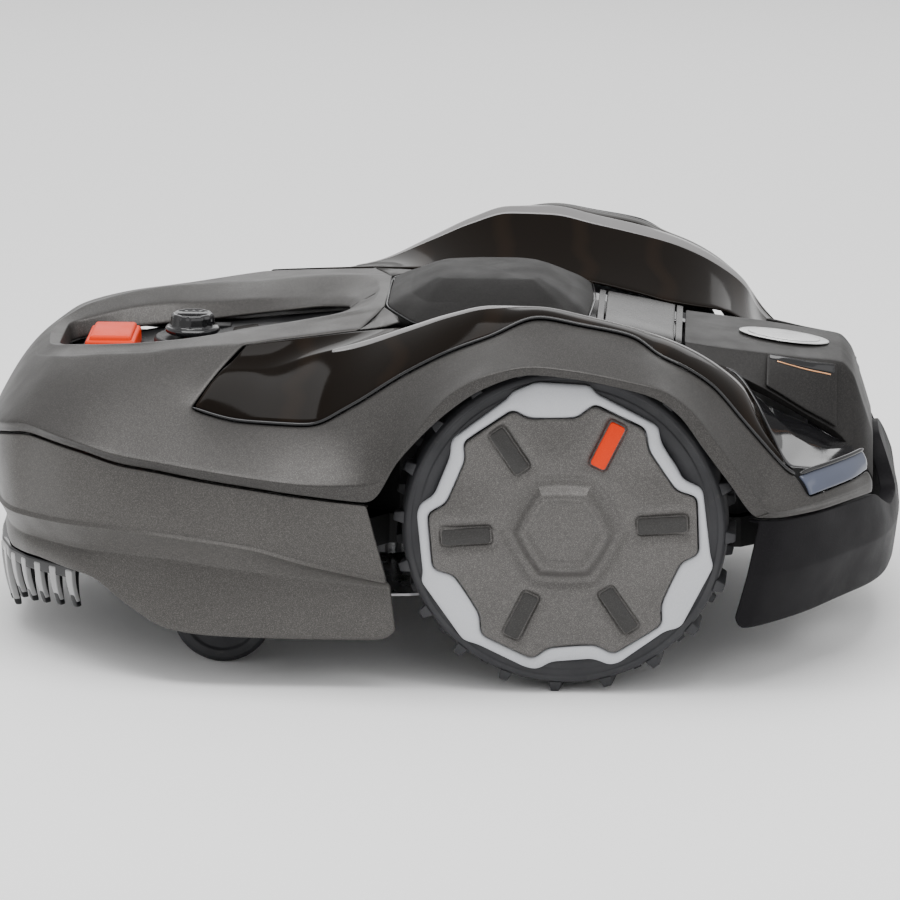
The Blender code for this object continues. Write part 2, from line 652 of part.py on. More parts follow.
def make_chassis_cover(mats):
    """Inverted tub over the electronics, sealed on the pan."""
    bm = bmesh.new()
    outer, inner = [], []
    for rings, inset in ((outer, 0.0), (inner, 3.0)):
        for i, (x, half, top) in enumerate(COVER_SECTIONS):
            push = inset if i == 0 else -inset if i == len(COVER_SECTIONS) - 1 else 0.0
            y, z = half - inset, top - inset
            left = [(y, COVER_BOTTOM_Z), (y, z - 8), (y - 8, z)]
            corners = left + [(-cy, cz) for cy, cz in left[::-1]]
            rings.append([bm.verts.new((x + push, cy, cz)) for cy, cz in corners])
    for rings in (outer, inner):
        for a, b in zip(rings, rings[1:]):
            for i in range(5):
                bm.faces.new((a[i], a[i + 1], b[i + 1], b[i]))
        bm.faces.new(rings[0])
        bm.faces.new(rings[-1])
    for a, b, c, d in zip(outer, outer[1:], inner, inner[1:]):
        bm.faces.new((a[0], b[0], d[0], c[0]))
        bm.faces.new((a[5], b[5], d[5], c[5]))
    for o, n in ((outer[0], inner[0]), (outer[-1], inner[-1])):
        bm.faces.new((o[0], o[5], n[5], n[0]))
    cover = place(bm, "chassis_cover", mats["chassis"])
    hole = [(0, -220), (13, -220), (13, 220), (0, 220)]
    cutter(turned(hole, 24, (WHEEL_X, 0, WHEEL_TIP_R), axis=1), cover)


def make_power(mats):
    """Battery, its hatch, the circuit board and the two gear motors."""
    place(box((-262, -72, 99.6), (-176, 72, 148), 3.0), "battery_pack", mats["battery"])
    place(box((-272, -62, 92.6), (-176, 62, PAN_BOTTOM_Z - GAP), 1.0), "battery_hatch", mats["chassis"])
    board = place(box((132, -72, 128), (236, 72, 130)), "main_circuit_board", mats["board"])
    components = (((150, -40, 129), (186, -8, 135)), ((150, 10, 129), (172, 40, 140)),
                  ((196, -30, 129), (226, 30, 133)))
    for low, high in components:
        cutter(box(low, high), board, "UNION")
    for side, sign in (("left", 1), ("right", -1)):
        profile = [(0, 70), (29, 70), (31, 72), (31, 148), (20, 154), (20, 161), (0, 161)]
        bm = turned([(r, sign * h) for r, h in profile], 24, (WHEEL_X, 0, WHEEL_TIP_R), axis=1)
        place(bm, f"gear_motor_{side}", mats["steel"])
    for side, sign in (("left", 1), ("right", -1)):
        ends = sorted((sign * 10, sign * 44))
        place(box((300.3, ends[0], 101), (302.3, ends[1], 114), 0.4), f"charge_plate_{side}", mats["copper"])
    for i, (x, y) in enumerate(((-40, 120), (-40, -120), (-190, 110), (-190, -110)), start=1):
        profile = [(0, 0), (9, 0), (7, 2.5), (9, 5), (9, 7), (0, 7)]
        place(turned(profile, 16, (x, y, COVER_TOP_Z + GAP)), f"float_post_{i}", mats["rubber"])


GUARD_PATH = [(357, 0), (356, 40), (352, 80), (343, 108), (327, 132), (307, 150), (287, 165), (268, 177)]
FRONT_PRONGS = 6
CORNER_PRONGS = 5


def guard_stations():
    """Pairs of path positions, one pair for the two edges of each prong, from the middle outwards."""
    path = np.array(GUARD_PATH, float)
    run = np.concatenate([[0], np.cumsum(np.linalg.norm(np.diff(path, axis=0), axis=1))])
    centres = [19.0 * i for i in range(FRONT_PRONGS)]
    centres += [centres[-1] + 22 + 17.5 * i for i in range(CORNER_PRONGS)]

    def at(s):
        return np.array([np.interp(s, run, path[:, k]) for k in range(2)])

    edges = []
    for i, c in enumerate(centres):
        edges += [(at(abs(c - 3.5)) * (1, -1 if c < 3.5 else 1), i), (at(c + 3.5), i)]
    edges.append((at(run[-1]), None))
    return edges


def make_foot_guard(mats):
    """Comb across the nose that keeps feet away from the blades: a bar with prongs drawn down from it."""
    half = guard_stations()
    left = [(p, i) for p, i in half if p[1] > 0]
    right = [(p * (1, -1), i) for p, i in left[::-1]]
    stations = right + left
    bm = bmesh.new()
    rings = []
    for k, (p, _) in enumerate(stations):
        before, after = stations[max(k - 1, 0)][0], stations[min(k + 1, len(stations) - 1)][0]
        run = (after - before) / np.linalg.norm(after - before)
        inward = np.array((-run[1], run[0]))
        outer, inner = p, p + inward * 9.0
        rings.append([bm.verts.new(q) for q in ((*outer, 73), (*inner, 73), (*inner, 63), (*outer, 63))])
    prong_faces = []
    for k, (a, b) in enumerate(zip(rings, rings[1:])):
        for i in range(4):
            face = bm.faces.new((a[i], a[(i + 1) % 4], b[(i + 1) % 4], b[i]))
            same = stations[k][1] == stations[k + 1][1] and stations[k][1] is not None
            if i == 2 and same:
                prong_faces.append((face, stations[k][1]))
    bm.faces.new(rings[0])
    bm.faces.new(rings[-1][::-1])
    for face, number in prong_faces:
        tip = 20.0 if number < FRONT_PRONGS else 31.0 + 1.5 * (number - FRONT_PRONGS)
        new = bmesh.ops.extrude_discrete_faces(bm, faces=[face])["faces"][0]
        middle = sum((v.co for v in new.verts), new.verts[0].co * 0) / 4
        for v in new.verts:
            v.co = middle + (v.co - middle) * 0.75
            v.co.z = tip
    guard = place(bm, "foot_guard", mats["guard"])
    for sign in (1, -1):
        arm = box((296, 46, 66), (351, 58, 72))
        riser = box((301, 47, 67), (310, 57, 119))
        for bm_arm in (arm, riser):
            if sign < 0:
                mirror_y(bm_arm)
            cutter(bm_arm, guard, "UNION")


# ---------------------------------------------------------------- controls

def tray_z(x):
    """Height of the control tray, which slopes with the opening above it and clears it by TRAY_DROP."""
    front, rear = RECESS[0], RECESS[14]
    return front[2] - TRAY_DROP + (front[0] - x) * (rear[2] - front[2]) / (front[0] - rear[0])


def make_console(mats):
    """Sloping control tray with pockets for the stop button and the knob."""
    bm = bmesh.new()
    outline = [(312, 44), (300, 52), (262, 66), (228, 68), (150, 50), (60, 22)]
    ring = outline + [(x, -y) for x, y in outline[::-1]]
    low = [bm.verts.new((x, y, COVER_TOP_Z + GAP)) for x, y in ring]
    high = [bm.verts.new((x, y, tray_z(x))) for x, y in ring]
    bm.faces.new(low)
    bm.faces.new(high[::-1])
    for i in range(len(ring)):
        j = (i + 1) % len(ring)
        bm.faces.new((low[i], low[j], high[j], high[i]))
    console = place(bm, "control_console", mats["tray"])
    pod = [(0, 198), (31, 198), (31, 218), (28, 221), (0, 221)]
    cutter(turned(pod, 28, (KNOB_X, 0, 0)), console, "UNION")
    pocket_x, pocket_y = STOP_HALF_X + POCKET_GAP, STOP_HALF_Y + POCKET_GAP
    cutter(box((STOP_X - pocket_x, -pocket_y, 195), (STOP_X + pocket_x, pocket_y, 240)), console)
    cutter(turned([(0, 200), (8.5, 200), (8.5, 240), (0, 240)], 20, (KNOB_X, 0, 0)), console)
    window = bmesh.new()
    rings = []
    for lift in (0.3, 2.3):
        corners = [(172, -14), (154, -14), (154, 14), (172, 14)]
        rings.append([window.verts.new((x, y, tray_z(x) + lift)) for x, y in corners])
    for i in range(4):
        j = (i + 1) % 4
        window.faces.new((rings[0][i], rings[0][j], rings[1][j], rings[1][i]))
    window.faces.new(rings[0])
    window.faces.new(rings[1][::-1])
    place(window, "display_window", mats["window"])


def make_controls(mats):
    """Stop button, knob and the knob's shaft, each about its own axis."""
    stop_base, stop_top = 202.0, 225.0
    low, high = (STOP_X - STOP_HALF_X, -STOP_HALF_Y, stop_base), (STOP_X + STOP_HALF_X, STOP_HALF_Y, stop_top)
    button = box(low, high, 1.6, taper=(0.9, 0.93))
    place(button, "stop_button", mats["stop"], origin=(STOP_X, 0, stop_base))
    shaft = joint_empty("knob_push", (KNOB_X, 0, 202.5))
    place(turned([(0, 202.5), (7, 202.5), (7, 223.2), (0, 223.2)], 20, (KNOB_X, 0, 0)), "knob_shaft",
          mats["steel"], origin=(KNOB_X, 0, 202.5), parent=shaft)
    profile = [(0, 223.5), (21, 223.5), (22, 224.5), (22, 228), (19, 232), (17, 237.5), (15.5, 239), (0, 239)]
    place(turned(profile, 32, (KNOB_X, 0, 0)), "knob", mats["gloss_black"], origin=(KNOB_X, 0, 223.5))


# ---------------------------------------------------------------- drive wheels

def tyre_mesh(sign):
    """Tyre with staggered lugs drawn out of its tread."""
    segments = 4 * LUGS
    tread_in, tread_mid, tread_out = TYRE_INNER_Y + 5, (TYRE_INNER_Y + TYRE_OUTER_Y) / 2, TYRE_OUTER_Y - 5
    profile = [(99, TYRE_INNER_Y), (118, TYRE_INNER_Y), (TYRE_R, tread_in), (TYRE_R + 0.3, tread_mid),
               (TYRE_R, tread_out), (119, TYRE_OUTER_Y), (99, TYRE_OUTER_Y)]
    bm = bmesh.new()
    rings = []
    for radius, y in profile:
        angles = (math.tau * i / segments for i in range(segments))
        rings.append([bm.verts.new((WHEEL_X + radius * math.cos(a), sign * y,
                                    WHEEL_TIP_R + radius * math.sin(a))) for a in angles])
    lug_faces = []
    for k, (a, b) in enumerate(zip(rings, rings[1:] + rings[:1])):
        for i in range(segments):
            j = (i + 1) % segments
            face = bm.faces.new((a[i], a[j], b[j], b[i]))
            if (k == 2 and i % 4 == 0) or (k == 3 and i % 4 == 2):
                lug_faces.append(face)
    bmesh.ops.recalc_face_normals(bm, faces=bm.faces)
    axle = np.array((WHEEL_X, 0, WHEEL_TIP_R))
    for face in lug_faces:
        new = bmesh.ops.extrude_discrete_faces(bm, faces=[face])["faces"][0]
        centre = sum((v.co for v in new.verts), new.verts[0].co * 0) / 4
        for v in new.verts:
            v.co = centre + (v.co - centre) * 0.8
            offset = np.array(v.co) - axle
            flat = np.array((offset[0], 0, offset[2]))
            v.co = axle + flat / np.linalg.norm(flat) * WHEEL_TIP_R + np.array((0, offset[1], 0))
    return bm


def ring_outline(wide, narrow):
    """Three-lobed outline: (radius, half angle) of the wide lobes and of the narrow ones between them."""
    points = []
    for lobe in range(6):
        radius, spread = (wide, 22.0) if lobe % 2 == 0 else (narrow, 13.0)
        centre = 90 + 60 * lobe
        for step in (-1, 0, 1):
            angle = math.radians(centre + step * spread)
            points.append((radius * math.cos(angle), radius * math.sin(angle)))
    return points


def wheel_prism(outline, low, high, sign):
    shifted = [(WHEEL_X + x, WHEEL_TIP_R + z) for x, z in outline]
    return prism(shifted, sign * low, sign * high, axis=1)


def bar_outline(centre_r, angle, length, width):
    """Rectangle whose long side lies along a spoke of the wheel."""
    a = math.radians(angle)
    along_r, across = np.array((math.cos(a), math.sin(a))), np.array((-math.sin(a), math.cos(a)))
    corners = []
    for u, v in ((-1, -1), (1, -1), (1, 1), (-1, 1)):
        corners.append(tuple(along_r * (centre_r + u * length / 2) + across * v * width / 2))
    return corners


def make_drive_wheel(mats, side, sign):
    """Tyre, rim, hub cap, marker and axle of one drive wheel, hung from an empty on its axle."""
    hub = (WHEEL_X, sign * 220, WHEEL_TIP_R)
    spin = joint_empty(f"drive_wheel_{side}_spin", hub)
    place(tyre_mesh(sign), f"tyre_{side}", mats["tyre"], origin=hub, parent=spin)
    barrel = [(9, 241), (94.6, 241), (94.6, 194), (98.6, 194), (98.6, 250.4), (112, 250.4), (112, 253.4),
              (96, 253.4), (96, 247), (9, 247)]
    rim = place(turned([(r, sign * h) for r, h in barrel], 36, (WHEEL_X, 0, WHEEL_TIP_R), axis=1),
                f"rim_{side}", mats["ring"], origin=hub, parent=spin)
    cutter(wheel_prism(ring_outline(118.0, 114.0), 250.4, 254.6, sign), rim, "UNION")
    cutter(wheel_prism(ring_outline(103.0, 95.0), 251.2, 262.0, sign), rim)
    cap = place(wheel_prism(ring_outline(102.2, 94.2), 251.5, 257.0, sign), f"hub_cap_{side}", mats["hub"],
                origin=hub, parent=spin)
    boss_angles = [math.radians(30 + 60 * i) for i in range(6)]
    boss = [(BOSS_R * math.cos(a), BOSS_R * math.sin(a)) for a in boss_angles]
    cutter(wheel_prism(boss, 253, 261.5, sign), cap, "UNION")
    for spoke in range(6):
        pocket = bar_outline(SPOKE_R, MARKER_ANGLE + 60 * spoke, POCKET_LENGTH, POCKET_WIDTH)
        cutter(wheel_prism(pocket, 255, 270, sign), cap)
    marker_bar = bar_outline(SPOKE_R, MARKER_ANGLE, POCKET_LENGTH - 1, POCKET_WIDTH - 1)
    marker = wheel_prism(marker_bar, 255.3, 257.6, sign)
    place(marker, f"hub_marker_{side}", mats["stop"], origin=hub, parent=spin)
    axle = [(0, 161.4), (8, 161.4), (8, 206), (8.7, 206), (8.7, 250), (0, 250)]
    axle_mesh = turned([(r, sign * h) for r, h in axle], 20, (WHEEL_X, 0, WHEEL_TIP_R), axis=1)
    place(axle_mesh, f"wheel_axle_{side}", mats["steel"], origin=hub, parent=spin)


# ---------------------------------------------------------------- casters

def make_caster(mats, side, sign):
    """Swivelling fork and free wheel of one front caster."""
    y = sign * CASTER_Y
    wheel_x = CASTER_AXIS_X - CASTER_TRAIL
    swivel = joint_empty(f"caster_{side}_swivel", (CASTER_AXIS_X, y, 90))
    bm = turned([(0, 87), (21, 87), (21, 92), (13, 95.7), (0, 95.7)], 24, (CASTER_AXIS_X, y, 0))
    fork = place(bm, f"caster_fork_{side}", mats["chassis"], origin=(CASTER_AXIS_X, y, 90), parent=swivel)
    half = CASTER_WIDTH / 2
    cutter(box((wheel_x - 9, y - half - 5, 83.5), (CASTER_AXIS_X + 12, y + half + 5, 89)), fork, "UNION")
    for arm in (-1, 1):
        low, high = sorted((y + arm * (half + 2), y + arm * (half + 5)))
        outline = [(wheel_x - 9, 88), (wheel_x - 9, 34), (wheel_x - 4, 30), (wheel_x + 5, 30),
                   (wheel_x + 10, 36), (CASTER_AXIS_X + 12, 84), (CASTER_AXIS_X + 12, 88)]
        cutter(prism(outline, low, high, axis=1), fork, "UNION")
    roll = joint_empty(f"caster_{side}_roll", (wheel_x, y, CASTER_R))
    profile = [(4.2, -half), (CASTER_R - 7, -half), (CASTER_R - 2, -half + 4), (CASTER_R, -half + 11),
               (CASTER_R, half - 11), (CASTER_R - 2, half - 4), (CASTER_R - 7, half), (4.2, half)]
    place(turned(profile, 28, (wheel_x, y, CASTER_R), axis=1), f"caster_wheel_{side}", mats["tyre"],
          origin=(wheel_x, y, CASTER_R), parent=roll)
    pin = [(0, -half - 1.5), (4.0, -half - 1.5), (4.0, half + 1.5), (0, half + 1.5)]
    place(turned(pin, 16, (wheel_x, y, CASTER_R), axis=1), f"caster_axle_{side}", mats["steel"],
          origin=(wheel_x, y, CASTER_R), parent=roll)


# ---------------------------------------------------------------- cutting unit

def make_cutting_unit(mats):
    """Height guide, motor carriage, disc with three free blades, and the skid plate below it."""
    guide = [(56, 84), (62, 84), (62, 99.3), (76, 99.3), (76, 103), (62, 103), (62, 165), (56, 165)]
    place(turned(guide, 28, (CUT_X, 0, 0)), "cutting_guide", mats["chassis"])
    motor = [(0, 66), (55, 66), (55, 100), (46, 108), (46, 140), (0, 140)]
    place(turned(motor, 28, (CUT_X, 0, 0)), "cutting_motor", mats["chassis"], origin=(CUT_X, 0, 66))
    spin = joint_empty("cutting_disc_spin", (CUT_X, 0, DISC_Z))
    disc = [(0, 30), (9, 30), (9, 38.5), (DISC_R, 38.5), (DISC_R, 40.5), (26, 43), (16, 46), (16, 65.5),
            (0, 65.5)]
    place(turned(disc, 36, (CUT_X, 0, 0)), "cutting_disc", mats["disc"], origin=(CUT_X, 0, DISC_Z),
          parent=spin)
    for i in range(3):
        angle = math.tau * i / 3
        x, y = CUT_X + BLADE_PIVOT_R * math.cos(angle), BLADE_PIVOT_R * math.sin(angle)
        shank = [(0, 38.2), (3.0, 38.2), (3.0, 35.6), (5.5, 35.6), (5.5, 33.6), (0, 33.6)]
        place(turned(shank, 16, (x, y, 0)), f"blade_screw_{i + 1}", mats["steel"], origin=(x, y, DISC_Z),
              parent=spin)
        make_blade(mats, i + 1, x, y, angle)
    skid = [(9.6, 31), (60, 28), (70, 31), (70, 33), (60, 30.5), (9.6, 33.2)]
    place(turned(skid, 28, (CUT_X, 0, 0)), "skid_plate", mats["chassis"], origin=(CUT_X, 0, 31))


def make_blade(mats, number, x, y, angle):
    """Thin two-edged blade that swings on its screw."""
    swing = joint_empty(f"blade_{number}_swing", (x, y, DISC_Z - 3))
    outward = np.array((math.cos(angle), math.sin(angle)))
    across = np.array((-outward[1], outward[0]))
    corners = [(-6, -7), (-4, -9), (22, -9), (25, -6), (25, 6), (22, 9), (-4, 9), (-6, 7)]
    outline = [tuple(np.array((x, y)) + outward * u + across * v) for u, v in corners]
    blade = place(prism(outline, 36.4, 37.4), f"blade_{number}", mats["steel"], origin=(x, y, DISC_Z - 3),
                  parent=swing)
    cutter(turned([(0, 30), (3.4, 30), (3.4, 45), (0, 45)], 16, (x, y, 0)), blade)


# ---------------------------------------------------------------- floating cover frame

def make_body_carrier(mats):
    """Frame between the chassis and the covers: it lifts off its posts, and the covers shift on it."""
    carrier = place(box((-203, -132, 198), (-16, 132, 202), 0.8), "body_carrier", mats["chassis"])
    cutter(box((-185, -112, 190), (-34, 112, 210)), carrier)
    return carrier


def make_materials():
    return {
        "body": material("body_metallic", (0.115, 0.102, 0.088), 0.42, 0.55),
        "body_dark": material("skirt_metallic", (0.105, 0.093, 0.080), 0.46, 0.5),
        "textured": material("textured_grey", (0.075, 0.072, 0.070), 0.6),
        "bumper": material("bumper_plastic", (0.038, 0.036, 0.039), 0.55),
        "window": material("smoked_window", (0.022, 0.016, 0.012), 0.12),
        "gloss_black": material("gloss_black", (0.012, 0.012, 0.014), 0.12),
        "gloss_grey": material("gloss_grey", (0.09, 0.09, 0.095), 0.15),
        "lamp": material("lamp_lens", (0.10, 0.12, 0.17), 0.15),
        "silver": material("badge_silver", (0.45, 0.45, 0.45), 0.3, 0.9),
        "chassis": material("chassis_plastic", (0.02, 0.02, 0.022), 0.55),
        "guard": material("guard_plastic", (0.03, 0.03, 0.032), 0.3),
        "tray": material("tray_plastic", (0.015, 0.015, 0.016), 0.45),
        "battery": material("battery_case", (0.03, 0.03, 0.035), 0.5),
        "board": material("circuit_board", (0.02, 0.12, 0.05), 0.5),
        "steel": material("steel", (0.5, 0.5, 0.5), 0.3, 1.0),
        "disc": material("disc_steel", (0.35, 0.35, 0.36), 0.35, 1.0),
        "copper": material("contact_copper", (0.72, 0.42, 0.27), 0.3, 1.0),
        "rubber": material("post_rubber", (0.03, 0.03, 0.03), 0.8),
        "tyre": material("tyre_rubber", (0.026, 0.026, 0.030), 0.75),
        "ring": material("rim_grey", (0.49, 0.50, 0.52), 0.4),
        "hub": material("hub_grey", (0.095, 0.088, 0.08), 0.55),
        "stop": material("signal_orange", (0.83, 0.10, 0.02), 0.4),
    }


def main():
    for obj in list(bpy.data.objects):
        bpy.data.objects.remove(obj, do_unlink=True)
    mats = make_materials()
    make_chassis_pan(mats)
    make_chassis_cover(mats)
    make_power(mats)
    make_foot_guard(mats)
    make_console(mats)
    make_controls(mats)
    for side, sign in (("left", 1), ("right", -1)):
        make_drive_wheel(mats, side, sign)
        make_caster(mats, side, sign)
    make_cutting_unit(mats)
    make_body_carrier(mats)
    shell = joint_empty("body_shell_shift", (0, 0, 0))
    for make in (make_top_cover, make_skirt, make_rear_bumper, make_trim, make_lamps, make_dome,
                 make_deck_panel, make_inner_deck, make_rear_module, make_accessory_panels, make_badge):
        make(mats, shell)


main()
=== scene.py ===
"""Finished look of the robotic lawn mower, built over its CAD frame.

+X is the mower's front, +Y its left side, +Z up; the origin is the middle of the footprint on the ground.
Feature lines are in millimetres and turned into metres when a mesh is made.
"""

import json
import math

import bmesh
import bpy
import numpy as np
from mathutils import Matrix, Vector
from mathutils.kdtree import KDTree


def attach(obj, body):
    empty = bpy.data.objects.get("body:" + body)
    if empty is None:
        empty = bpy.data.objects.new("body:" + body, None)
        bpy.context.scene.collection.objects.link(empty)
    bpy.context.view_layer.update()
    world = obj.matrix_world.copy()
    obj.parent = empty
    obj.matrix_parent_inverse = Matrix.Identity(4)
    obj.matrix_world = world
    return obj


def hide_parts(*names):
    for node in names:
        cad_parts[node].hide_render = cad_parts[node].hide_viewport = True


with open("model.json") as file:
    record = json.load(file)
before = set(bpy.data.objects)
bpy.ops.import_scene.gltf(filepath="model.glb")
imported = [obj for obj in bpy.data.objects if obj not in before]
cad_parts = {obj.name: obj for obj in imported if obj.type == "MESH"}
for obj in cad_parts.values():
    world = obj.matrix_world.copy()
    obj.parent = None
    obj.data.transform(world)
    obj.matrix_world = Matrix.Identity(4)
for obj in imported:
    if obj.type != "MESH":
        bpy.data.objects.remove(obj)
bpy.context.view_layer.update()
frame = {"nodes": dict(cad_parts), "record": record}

MM = 0.001
WHEEL_X = -100.4
WHEEL_Z = 131.0
LUGS = 20
CASTER_AXIS_X = 192.0
CASTER_X = 168.0
CASTER_Y = 160.0
CASTER_R = 40.0
KNOB_X = 205.0
STOP_X = 269.0
SHELL_T = 2.6
TRIM_T = 2.2
# Positions of the in-between rows of a panel; the close pairs hold its edges and character lines tight
ROW_SHARES = (0.0, 0.05, 0.22, 0.41, 0.59, 0.78, 0.95)
STATION_STEP = 0.2

# Feature lines of the body panels, left half: station -> (x, y, z)
GAP_LINE = {
    0: (360, 0, 160), 2: (357, 75, 161), 3: (350, 116, 169), 4: (337, 147, 176.5), 5: (316, 170, 181),
    6: (280, 206, 179), 7: (243, 225, 172), 8: (214, 235, 169.5), 9: (180, 245, 165.5),
    10: (140, 252, 161), 11: (95, 258, 156), 12: (50, 264, 153), 13: (25, 269, 188), 14: (-12, 270, 226),
    15: (-42, 270, 246), 16: (-75, 270, 256), 17: (-108, 270, 253), 18: (-145, 270, 246),
    19: (-170, 269, 238), 20: (-188, 268, 224), 21: (-205, 266, 200), 22: (-225, 262, 172),
    23: (-247, 252, 142), 24: (-262, 248, 141), 25: (-292, 222, 140), 26: (-318, 183, 138.5),
    27: (-337, 149, 136.5),
}
CREASE = {
    0: (361, 0, 168), 2: (359, 76, 169), 3: (353, 118, 177), 4: (340, 150, 184.5), 5: (318, 173, 189),
    6: (283, 211, 187), 7: (246, 230, 180), 8: (217, 240, 177.5), 9: (181, 250, 174),
    10: (140, 257, 169.5), 11: (93, 262, 165.5), 12: (47, 267, 168), 13: (16, 271, 205),
    14: (-14, 272, 241), 15: (-45, 272, 257), 16: (-76, 272, 263), 17: (-108, 272, 260),
    18: (-145, 272, 253), 19: (-173, 271, 246), 20: (-196, 270, 230), 21: (-216, 268, 204),
    22: (-236, 264, 176), 23: (-258, 254, 146.5), 24: (-272, 246, 147), 25: (-294, 221, 146),
    26: (-320, 182, 145), 27: (-337.5, 149, 144),
}
TRIM_LINE = {
    0: (344, 0, 198), 2: (338, 62, 200), 3: (329, 88, 203), 4: (317, 114, 211), 5: (300, 135, 214),
    6: (268, 152, 217), 7: (240, 160, 217.5), 8: (214, 168, 214), 9: (190, 186, 206.5),
    10: (148, 195, 198), 11: (100, 206, 198.5), 12: (66, 210, 214.5), 13: (25, 212, 241),
    14: (-12, 214, 260.5), 15: (-42, 214, 272), 16: (-78, 207, 285.5), 17: (-112, 208, 280),
    18: (-150, 210, 272.5), 19: (-172, 217, 259), 20: (-192, 219.5, 250), 21: (-212, 221, 237),
    22: (-238, 224.5, 208), 23: (-267, 228, 176), 24: (-277, 222, 167),
}
WINDOW_TOP = {
    0: (330, 0, 214), 2: (325, 46, 215), 3: (316, 68, 219), 4: (304, 88, 224), 5: (290, 100, 227),
    6: (262, 111, 231.5), 7: (232, 118, 234.5), 8: (200, 122, 239), 9: (153, 130, 245),
    10: (130, 125, 247.3), 11: (97, 118, 250), 12: (64, 110, 252.5), 13: (20, 100, 254),
}
RIM = {
    0: (319, 0, 221.5), 2: (315, 40, 222.5), 3: (307, 57, 225), 4: (297, 70, 228.5), 5: (284, 80, 231),
    6: (258, 94, 235), 7: (232, 100, 238), 8: (200, 98, 241), 9: (155, 87.5, 246), 10: (130, 83, 250),
    11: (100, 76, 254), 12: (70, 62, 257), 13: (58, 34, 258.2), 14: (55, 0, 258.6),
}
BANK = {
    0: (309, 0, 220.5), 2: (308.5, 30, 221), 3: (304, 40, 221.5), 4: (296, 45, 222.5),
    5: (282, 54, 224.5), 6: (258, 65, 228), 7: (230, 69.5, 230.5), 8: (200, 64, 233), 9: (155, 52, 239.5),
    10: (130, 46, 242), 11: (102, 40, 245), 12: (80, 26, 248), 13: (72, 13, 249.5), 14: (70, 0, 250),
}
RECESS = {
    0: (306, 0, 207), 2: (305.5, 28, 207), 3: (301, 36, 207.5), 4: (293, 40, 209), 5: (280, 46, 211),
    6: (256, 54, 214), 7: (230, 56, 217), 8: (200, 49, 222), 9: (155, 36, 231), 10: (130, 28, 236),
    11: (104, 24, 240), 12: (86, 15, 242), 13: (80, 8, 243.2), 14: (79, 0, 243.4),
}
DECK_EDGE = {11: (98, 86, 252.5), 12: (48, 56, 258), 13: (47.5, 30, 259), 14: (47, 0, 259.5)}
RIDGE = {
    9: (170, 158, 231.5), 10: (138, 157, 231), 11: (97, 152, 242), 12: (64, 148, 250),
    13: (22, 161, 267.5), 14: (-12, 174, 281.5), 15: (-42, 182, 289.3), 16: (-78, 182, 288.5),
    17: (-112, 179, 281.5), 18: (-150, 181, 272.5), 19: (-172, 182, 266.5), 20: (-195, 183, 257),
    21: (-218, 184, 243), 22: (-238, 186, 225), 22.5: (-247, 201, 203), 23: (-264, 222, 181),
}
ARCH_FOOT = {
    **{station: WINDOW_TOP[station] for station in range(9, 14)},
    14: (-15, 100, 252.5), 15: (-45, 100, 251), 16: (-78, 100, 249.5), 17: (-112, 95, 245),
    18: (-150, 92, 237), 19: (-175, 90.5, 230.5), 20: (-195, 90, 227.5), 21: (-218, 91, 224),
    22: (-240, 108, 209), 22.5: (-256, 150, 186), 23: (-270, 200, 171),
}
SKIRT_CREASE = {
    0: (361.5, 0, 112), 2: (357, 75, 112), 3: (350, 112, 112), 4: (337, 146, 112.5), 5: (319, 168, 113.5),
    6: (284, 203, 117), 7: (248, 225, 119), 8: (214, 239, 118.5), 9: (178, 248, 116), 10: (140, 254, 112),
    11: (98, 259, 102), 12: (34, 256, 87),
}
SKIRT_WAIST = {
    0: (357, 0, 92), 2: (352, 75, 92), 3: (345, 110, 91), 4: (331, 140, 91), 5: (312, 163, 92),
    6: (277, 198, 94), 7: (242, 220, 96.5), 8: (209, 234, 97), 9: (174, 243, 94.5), 10: (135, 249, 91),
    11: (92, 254, 87), 12: (32, 255, 81),
}
SKIRT_HEM = {
    0: (349, 0, 78), 2: (346, 75, 76), 3: (341, 108, 75), 4: (328, 137, 76.5), 5: (308, 166, 78.5),
    6: (272, 206, 78), 7: (240, 226, 61), 8: (206, 242, 45), 9: (172, 248, 41.5), 10: (127, 250, 40.5),
    11: (80, 250, 40), 11.75: (37, 250, 40.3), 12: (28, 250.5, 49),
}
BUMPER_TOP = {
    0: (-249, 250, 139.5), 1: (-263, 246, 138.5), 2: (-292, 220, 137.5), 3: (-318, 181, 136),
    4: (-337, 147, 134), 5: (-346, 122, 123), 6: (-353, 95, 114), 7: (-357, 62, 118), 8: (-350, 42, 140),
    9: (-344.5, 22, 153), 10: (-343.5, 0, 156),
}
BUMPER_MID = {
    0: (-240, 250, 95), 1: (-254, 246, 95), 2: (-290, 216, 96), 3: (-322, 172, 96), 4: (-344, 135, 96),
    5: (-352, 112, 96), 6: (-357, 85, 96), 7: (-360, 58, 96), 8: (-361, 40, 97), 9: (-361.5, 20, 97),
    10: (-361.5, 0, 97),
}
BUMPER_HEM = {
    0: (-231, 244.5, 60), 0.3: (-235, 242, 51.5), 1: (-243, 239, 51), 2: (-280, 203, 52),
    3: (-312, 156, 53), 4: (-336, 120, 54), 5: (-345, 100, 54.5), 6: (-350, 82, 55), 7: (-354, 56, 55.5),
    8: (-356, 38, 55.5), 9: (-357, 20, 56), 10: (-357, 0, 56),
}
LAMP_BOTTOM = {24: (-288, 226, 153.5), 25: (-299, 211.5, 154), 26: (-323, 176, 155), 27: (-333, 152, 156)}
LAMP_TOP = {24: (-279, 220, 167.5), 25: (-294, 205, 169.5), 26: (-318, 171, 170), 27: (-329, 150, 170)}
DOME_EDGE = [(46, 0, 259.5), (46, 53, 258.3), (21, 95, 254), (-15, 96.5, 252), (-60, 96.5, 250),
             (-108, 90, 245.5), (-113, 60, 253.3), (-117, 0, 255)]
DOME_SLOPE = [(28, 0, 269), (28, 42, 267.5), (14, 68, 265), (-18, 72, 266.5), (-60, 72, 266.5),
              (-90, 64, 263), (-98, 45, 265), (-99, 0, 266)]
